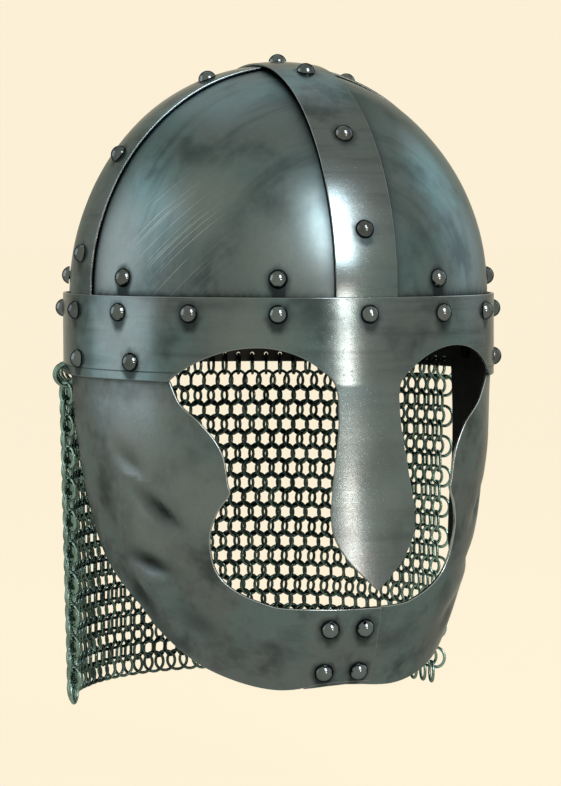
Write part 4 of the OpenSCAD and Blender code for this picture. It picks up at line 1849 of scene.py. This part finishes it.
@dataclass(frozen=True)
class Studio:
    """Pale floor, cream surroundings, soft lamps and the camera, in metres."""

    cream: Colour = (0.973, 0.871, 0.672)
    floor_z: float = -0.235
    floor_half: float = 30.0
    floor_glow: float = 1.03
    floor_shown: float = 0.95
    ambient: float = 0.35
    camera_place: tuple[float, float, float] = (-0.5466, -1.37, 0.0728)
    camera_turn: tuple[float, float, float] = (86.773, 0.0, -21.75)
    sensor: float = 36.0
    lens: float = 138.6
    shift: float = 0.0039
    lamps: tuple[Lamp, ...] = (
        Lamp((-1.25, 0.66, 0.42), (1.2, 1.2), 6.8),
        Lamp((0.13, -1.25, 0.80), (0.42, 0.84), 20.0, (1.0, 0.97, 0.93)),
        Lamp((0.20, -1.44, -0.02), (0.18, 0.16), 3.1, (1.0, 0.73, 0.60)),
        Lamp((1.3, 0.3, 0.5), (0.8, 1.0), 4.2),
        Lamp((0.2, 0.9, 1.3), (1.2, 1.2), 3.5),
    )

    def shown(self, graph: Graph) -> Wire:
        """Where the camera, a reflection or glass looks at the surroundings.

        Args:
            graph: the graph of the world or the floor.

        Returns:
            1 there, 0 elsewhere.
        """
        kinds = ("Camera", "Glossy", "Transmission")
        path = [graph.node("ShaderNodeLightPath", output=f"Is {kind} Ray") for kind in kinds]
        return (path[0] + path[1] + path[2]).clipped()

    def build(self) -> None:
        """Makes the surroundings, floor, lamps and camera."""
        world = bpy.data.worlds.new("cream_surroundings")
        bpy.context.scene.world = world
        graph = Graph(world)
        strength = self.ambient + self.shown(graph) * (1 - self.ambient)
        light = graph.node("ShaderNodeBackground", {}, {"Color": self.cream, "Strength": strength})
        graph.node("ShaderNodeOutputWorld", {}, {"Surface": light})
        self.floor()
        for number, lamp in enumerate(self.lamps):
            lamp.build(f"soft_lamp_{number}")
        self.camera()
        bpy.context.scene.view_settings.view_transform = "Standard"

    def floor(self) -> None:
        """Makes the pale floor, which keeps the helmet's shadow."""
        half, z = self.floor_half / MM, self.floor_z / MM
        points = np.array([[-half, -half, z], [half, -half, z], [half, half, z], [-half, half, z]])
        made = make_object("floor", points, [(0, 1, 2, 3)])
        material = bpy.data.materials.new("pale_floor")
        graph = Graph(material)
        matt = graph.node("ShaderNodeBsdfDiffuse", {}, {"Color": self.cream})
        glow = graph.node("ShaderNodeEmission", {}, {"Color": self.cream, "Strength": self.floor_glow})
        share = self.shown(graph) * self.floor_shown
        mixed = graph.node("ShaderNodeMixShader", {}, {0: share, 1: matt, 2: glow})
        graph.node("ShaderNodeOutputMaterial", {}, {"Surface": mixed})
        made.data.materials.append(material)

    def camera(self) -> None:
        """Makes the camera and looks through it."""
        camera = bpy.data.cameras.new("portrait")
        camera.sensor_fit = "VERTICAL"
        camera.sensor_height = self.sensor
        camera.lens = self.lens
        camera.shift_x = self.shift
        made = bpy.data.objects.new("portrait", camera)
        made.location = self.camera_place
        made.rotation_euler = tuple(math.radians(a) for a in self.camera_turn)
        bpy.context.scene.collection.objects.link(made)
        bpy.context.scene.camera = made


FINISHES = (
    Steel(
        Slot.SKULL,
        cool=(0.086, 0.152, 0.174),
        warm=(0.098, 0.134, 0.152),
        deep=(0.036, 0.056, 0.066),
        worn=(0.34, 0.40, 0.42),
        wear=0.3,
        # Painted sheen on the skull plates: lighter patches that stand for reflections.
        painted_sheen=(
            (-0.094, -0.030, 0.058, 0.038),
            (-0.030, -0.104, 0.055, 0.04),
            (-0.066, -0.071, 0.083, 0.03),
        ),
    ),
    Steel(
        Slot.BAND,
        cool=(0.092, 0.152, 0.176),
        warm=(0.106, 0.134, 0.152),
        deep=(0.038, 0.056, 0.066),
        worn=(0.28, 0.33, 0.36),
        rough=(0.15, 0.30),
        streaks=(10.0, 10.0, 150.0),
        scratch=0.25,
        wear=0.4,
        groove=(0.0042, 0.076),
        # Painted sheen on the bands and the nose guard: lighter patches that stand for reflections.
        painted_sheen=(
            (-0.050, -0.100, 0.020, 0.03),
            (-0.095, -0.045, 0.02, 0.03),
            (-0.008, -0.109, 0.062, 0.035),
            (0.0, -0.116, -0.035, 0.055),
        ),
    ),
    Steel(
        Slot.CHEEK,
        cool=(0.104, 0.154, 0.176),
        warm=(0.112, 0.138, 0.154),
        deep=(0.036, 0.048, 0.056),
        worn=(0.32, 0.38, 0.41),
        rough=(0.2, 0.36),
        cloud=24.0,
        streaks=(25.0, 60.0, 60.0),
        scratch=0.25,
        wear=0.75,
        # Painted sheen on the cheek plates: lighter patches that stand for reflections.
        painted_sheen=(
            (-0.086, -0.050, -0.030, 0.04),
            (-0.083, -0.051, -0.074, 0.03),
            (-0.069, -0.079, -0.054, 0.03),
        ),
    ),
    Steel(
        Slot.RIVET,
        cool=(0.115, 0.150, 0.170),
        warm=(0.115, 0.135, 0.15),
        deep=(0.05, 0.06, 0.066),
        worn=(0.3, 0.36, 0.4),
        rim_tint=(0.14, 0.16, 0.17),
        rough=(0.10, 0.2),
        scratch=0.15,
        hammer=0.1,
    ),
    MailWire(Slot.MAIL),
    Leather(Slot.LINER, base=(0.045, 0.026, 0.016), wear_and_sheen=(0.11, 0.065, 0.04)),
    Leather(Slot.LACE, base=(0.13, 0.085, 0.05), wear_and_sheen=(0.22, 0.15, 0.09), grain=1500.0),
)


def dress_rivets(materials: dict) -> None:
    """Gives the rivets their finish.

    Args:
        materials: the finishes by slot.
    """
    for name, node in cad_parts.items():
        if "rivet" in name:
            node.data.materials.clear()
            node.data.materials.append(materials[Slot.RIVET])
            LOG.info("%s: dressed", name)


def main() -> None:
    """Builds the studio, the finishes and the helmet's pieces."""
    logging.basicConfig(level=logging.INFO, format="%(message)s")
    Studio().build()
    materials = {finish.slot: finish.material() for finish in FINISHES}
    right_cheek = CheekPlate(Side.RIGHT, lean=0.07, end_x=12.0)
    left_cheek = CheekPlate(Side.LEFT, lean=0.0524, end_x=-20.0)
    for part in (Skull(), Brow(), right_cheek, left_cheek, Mail(), Liner()):
        part.build(materials)
    dress_rivets(materials)


if __name__ == "__main__":
    main()
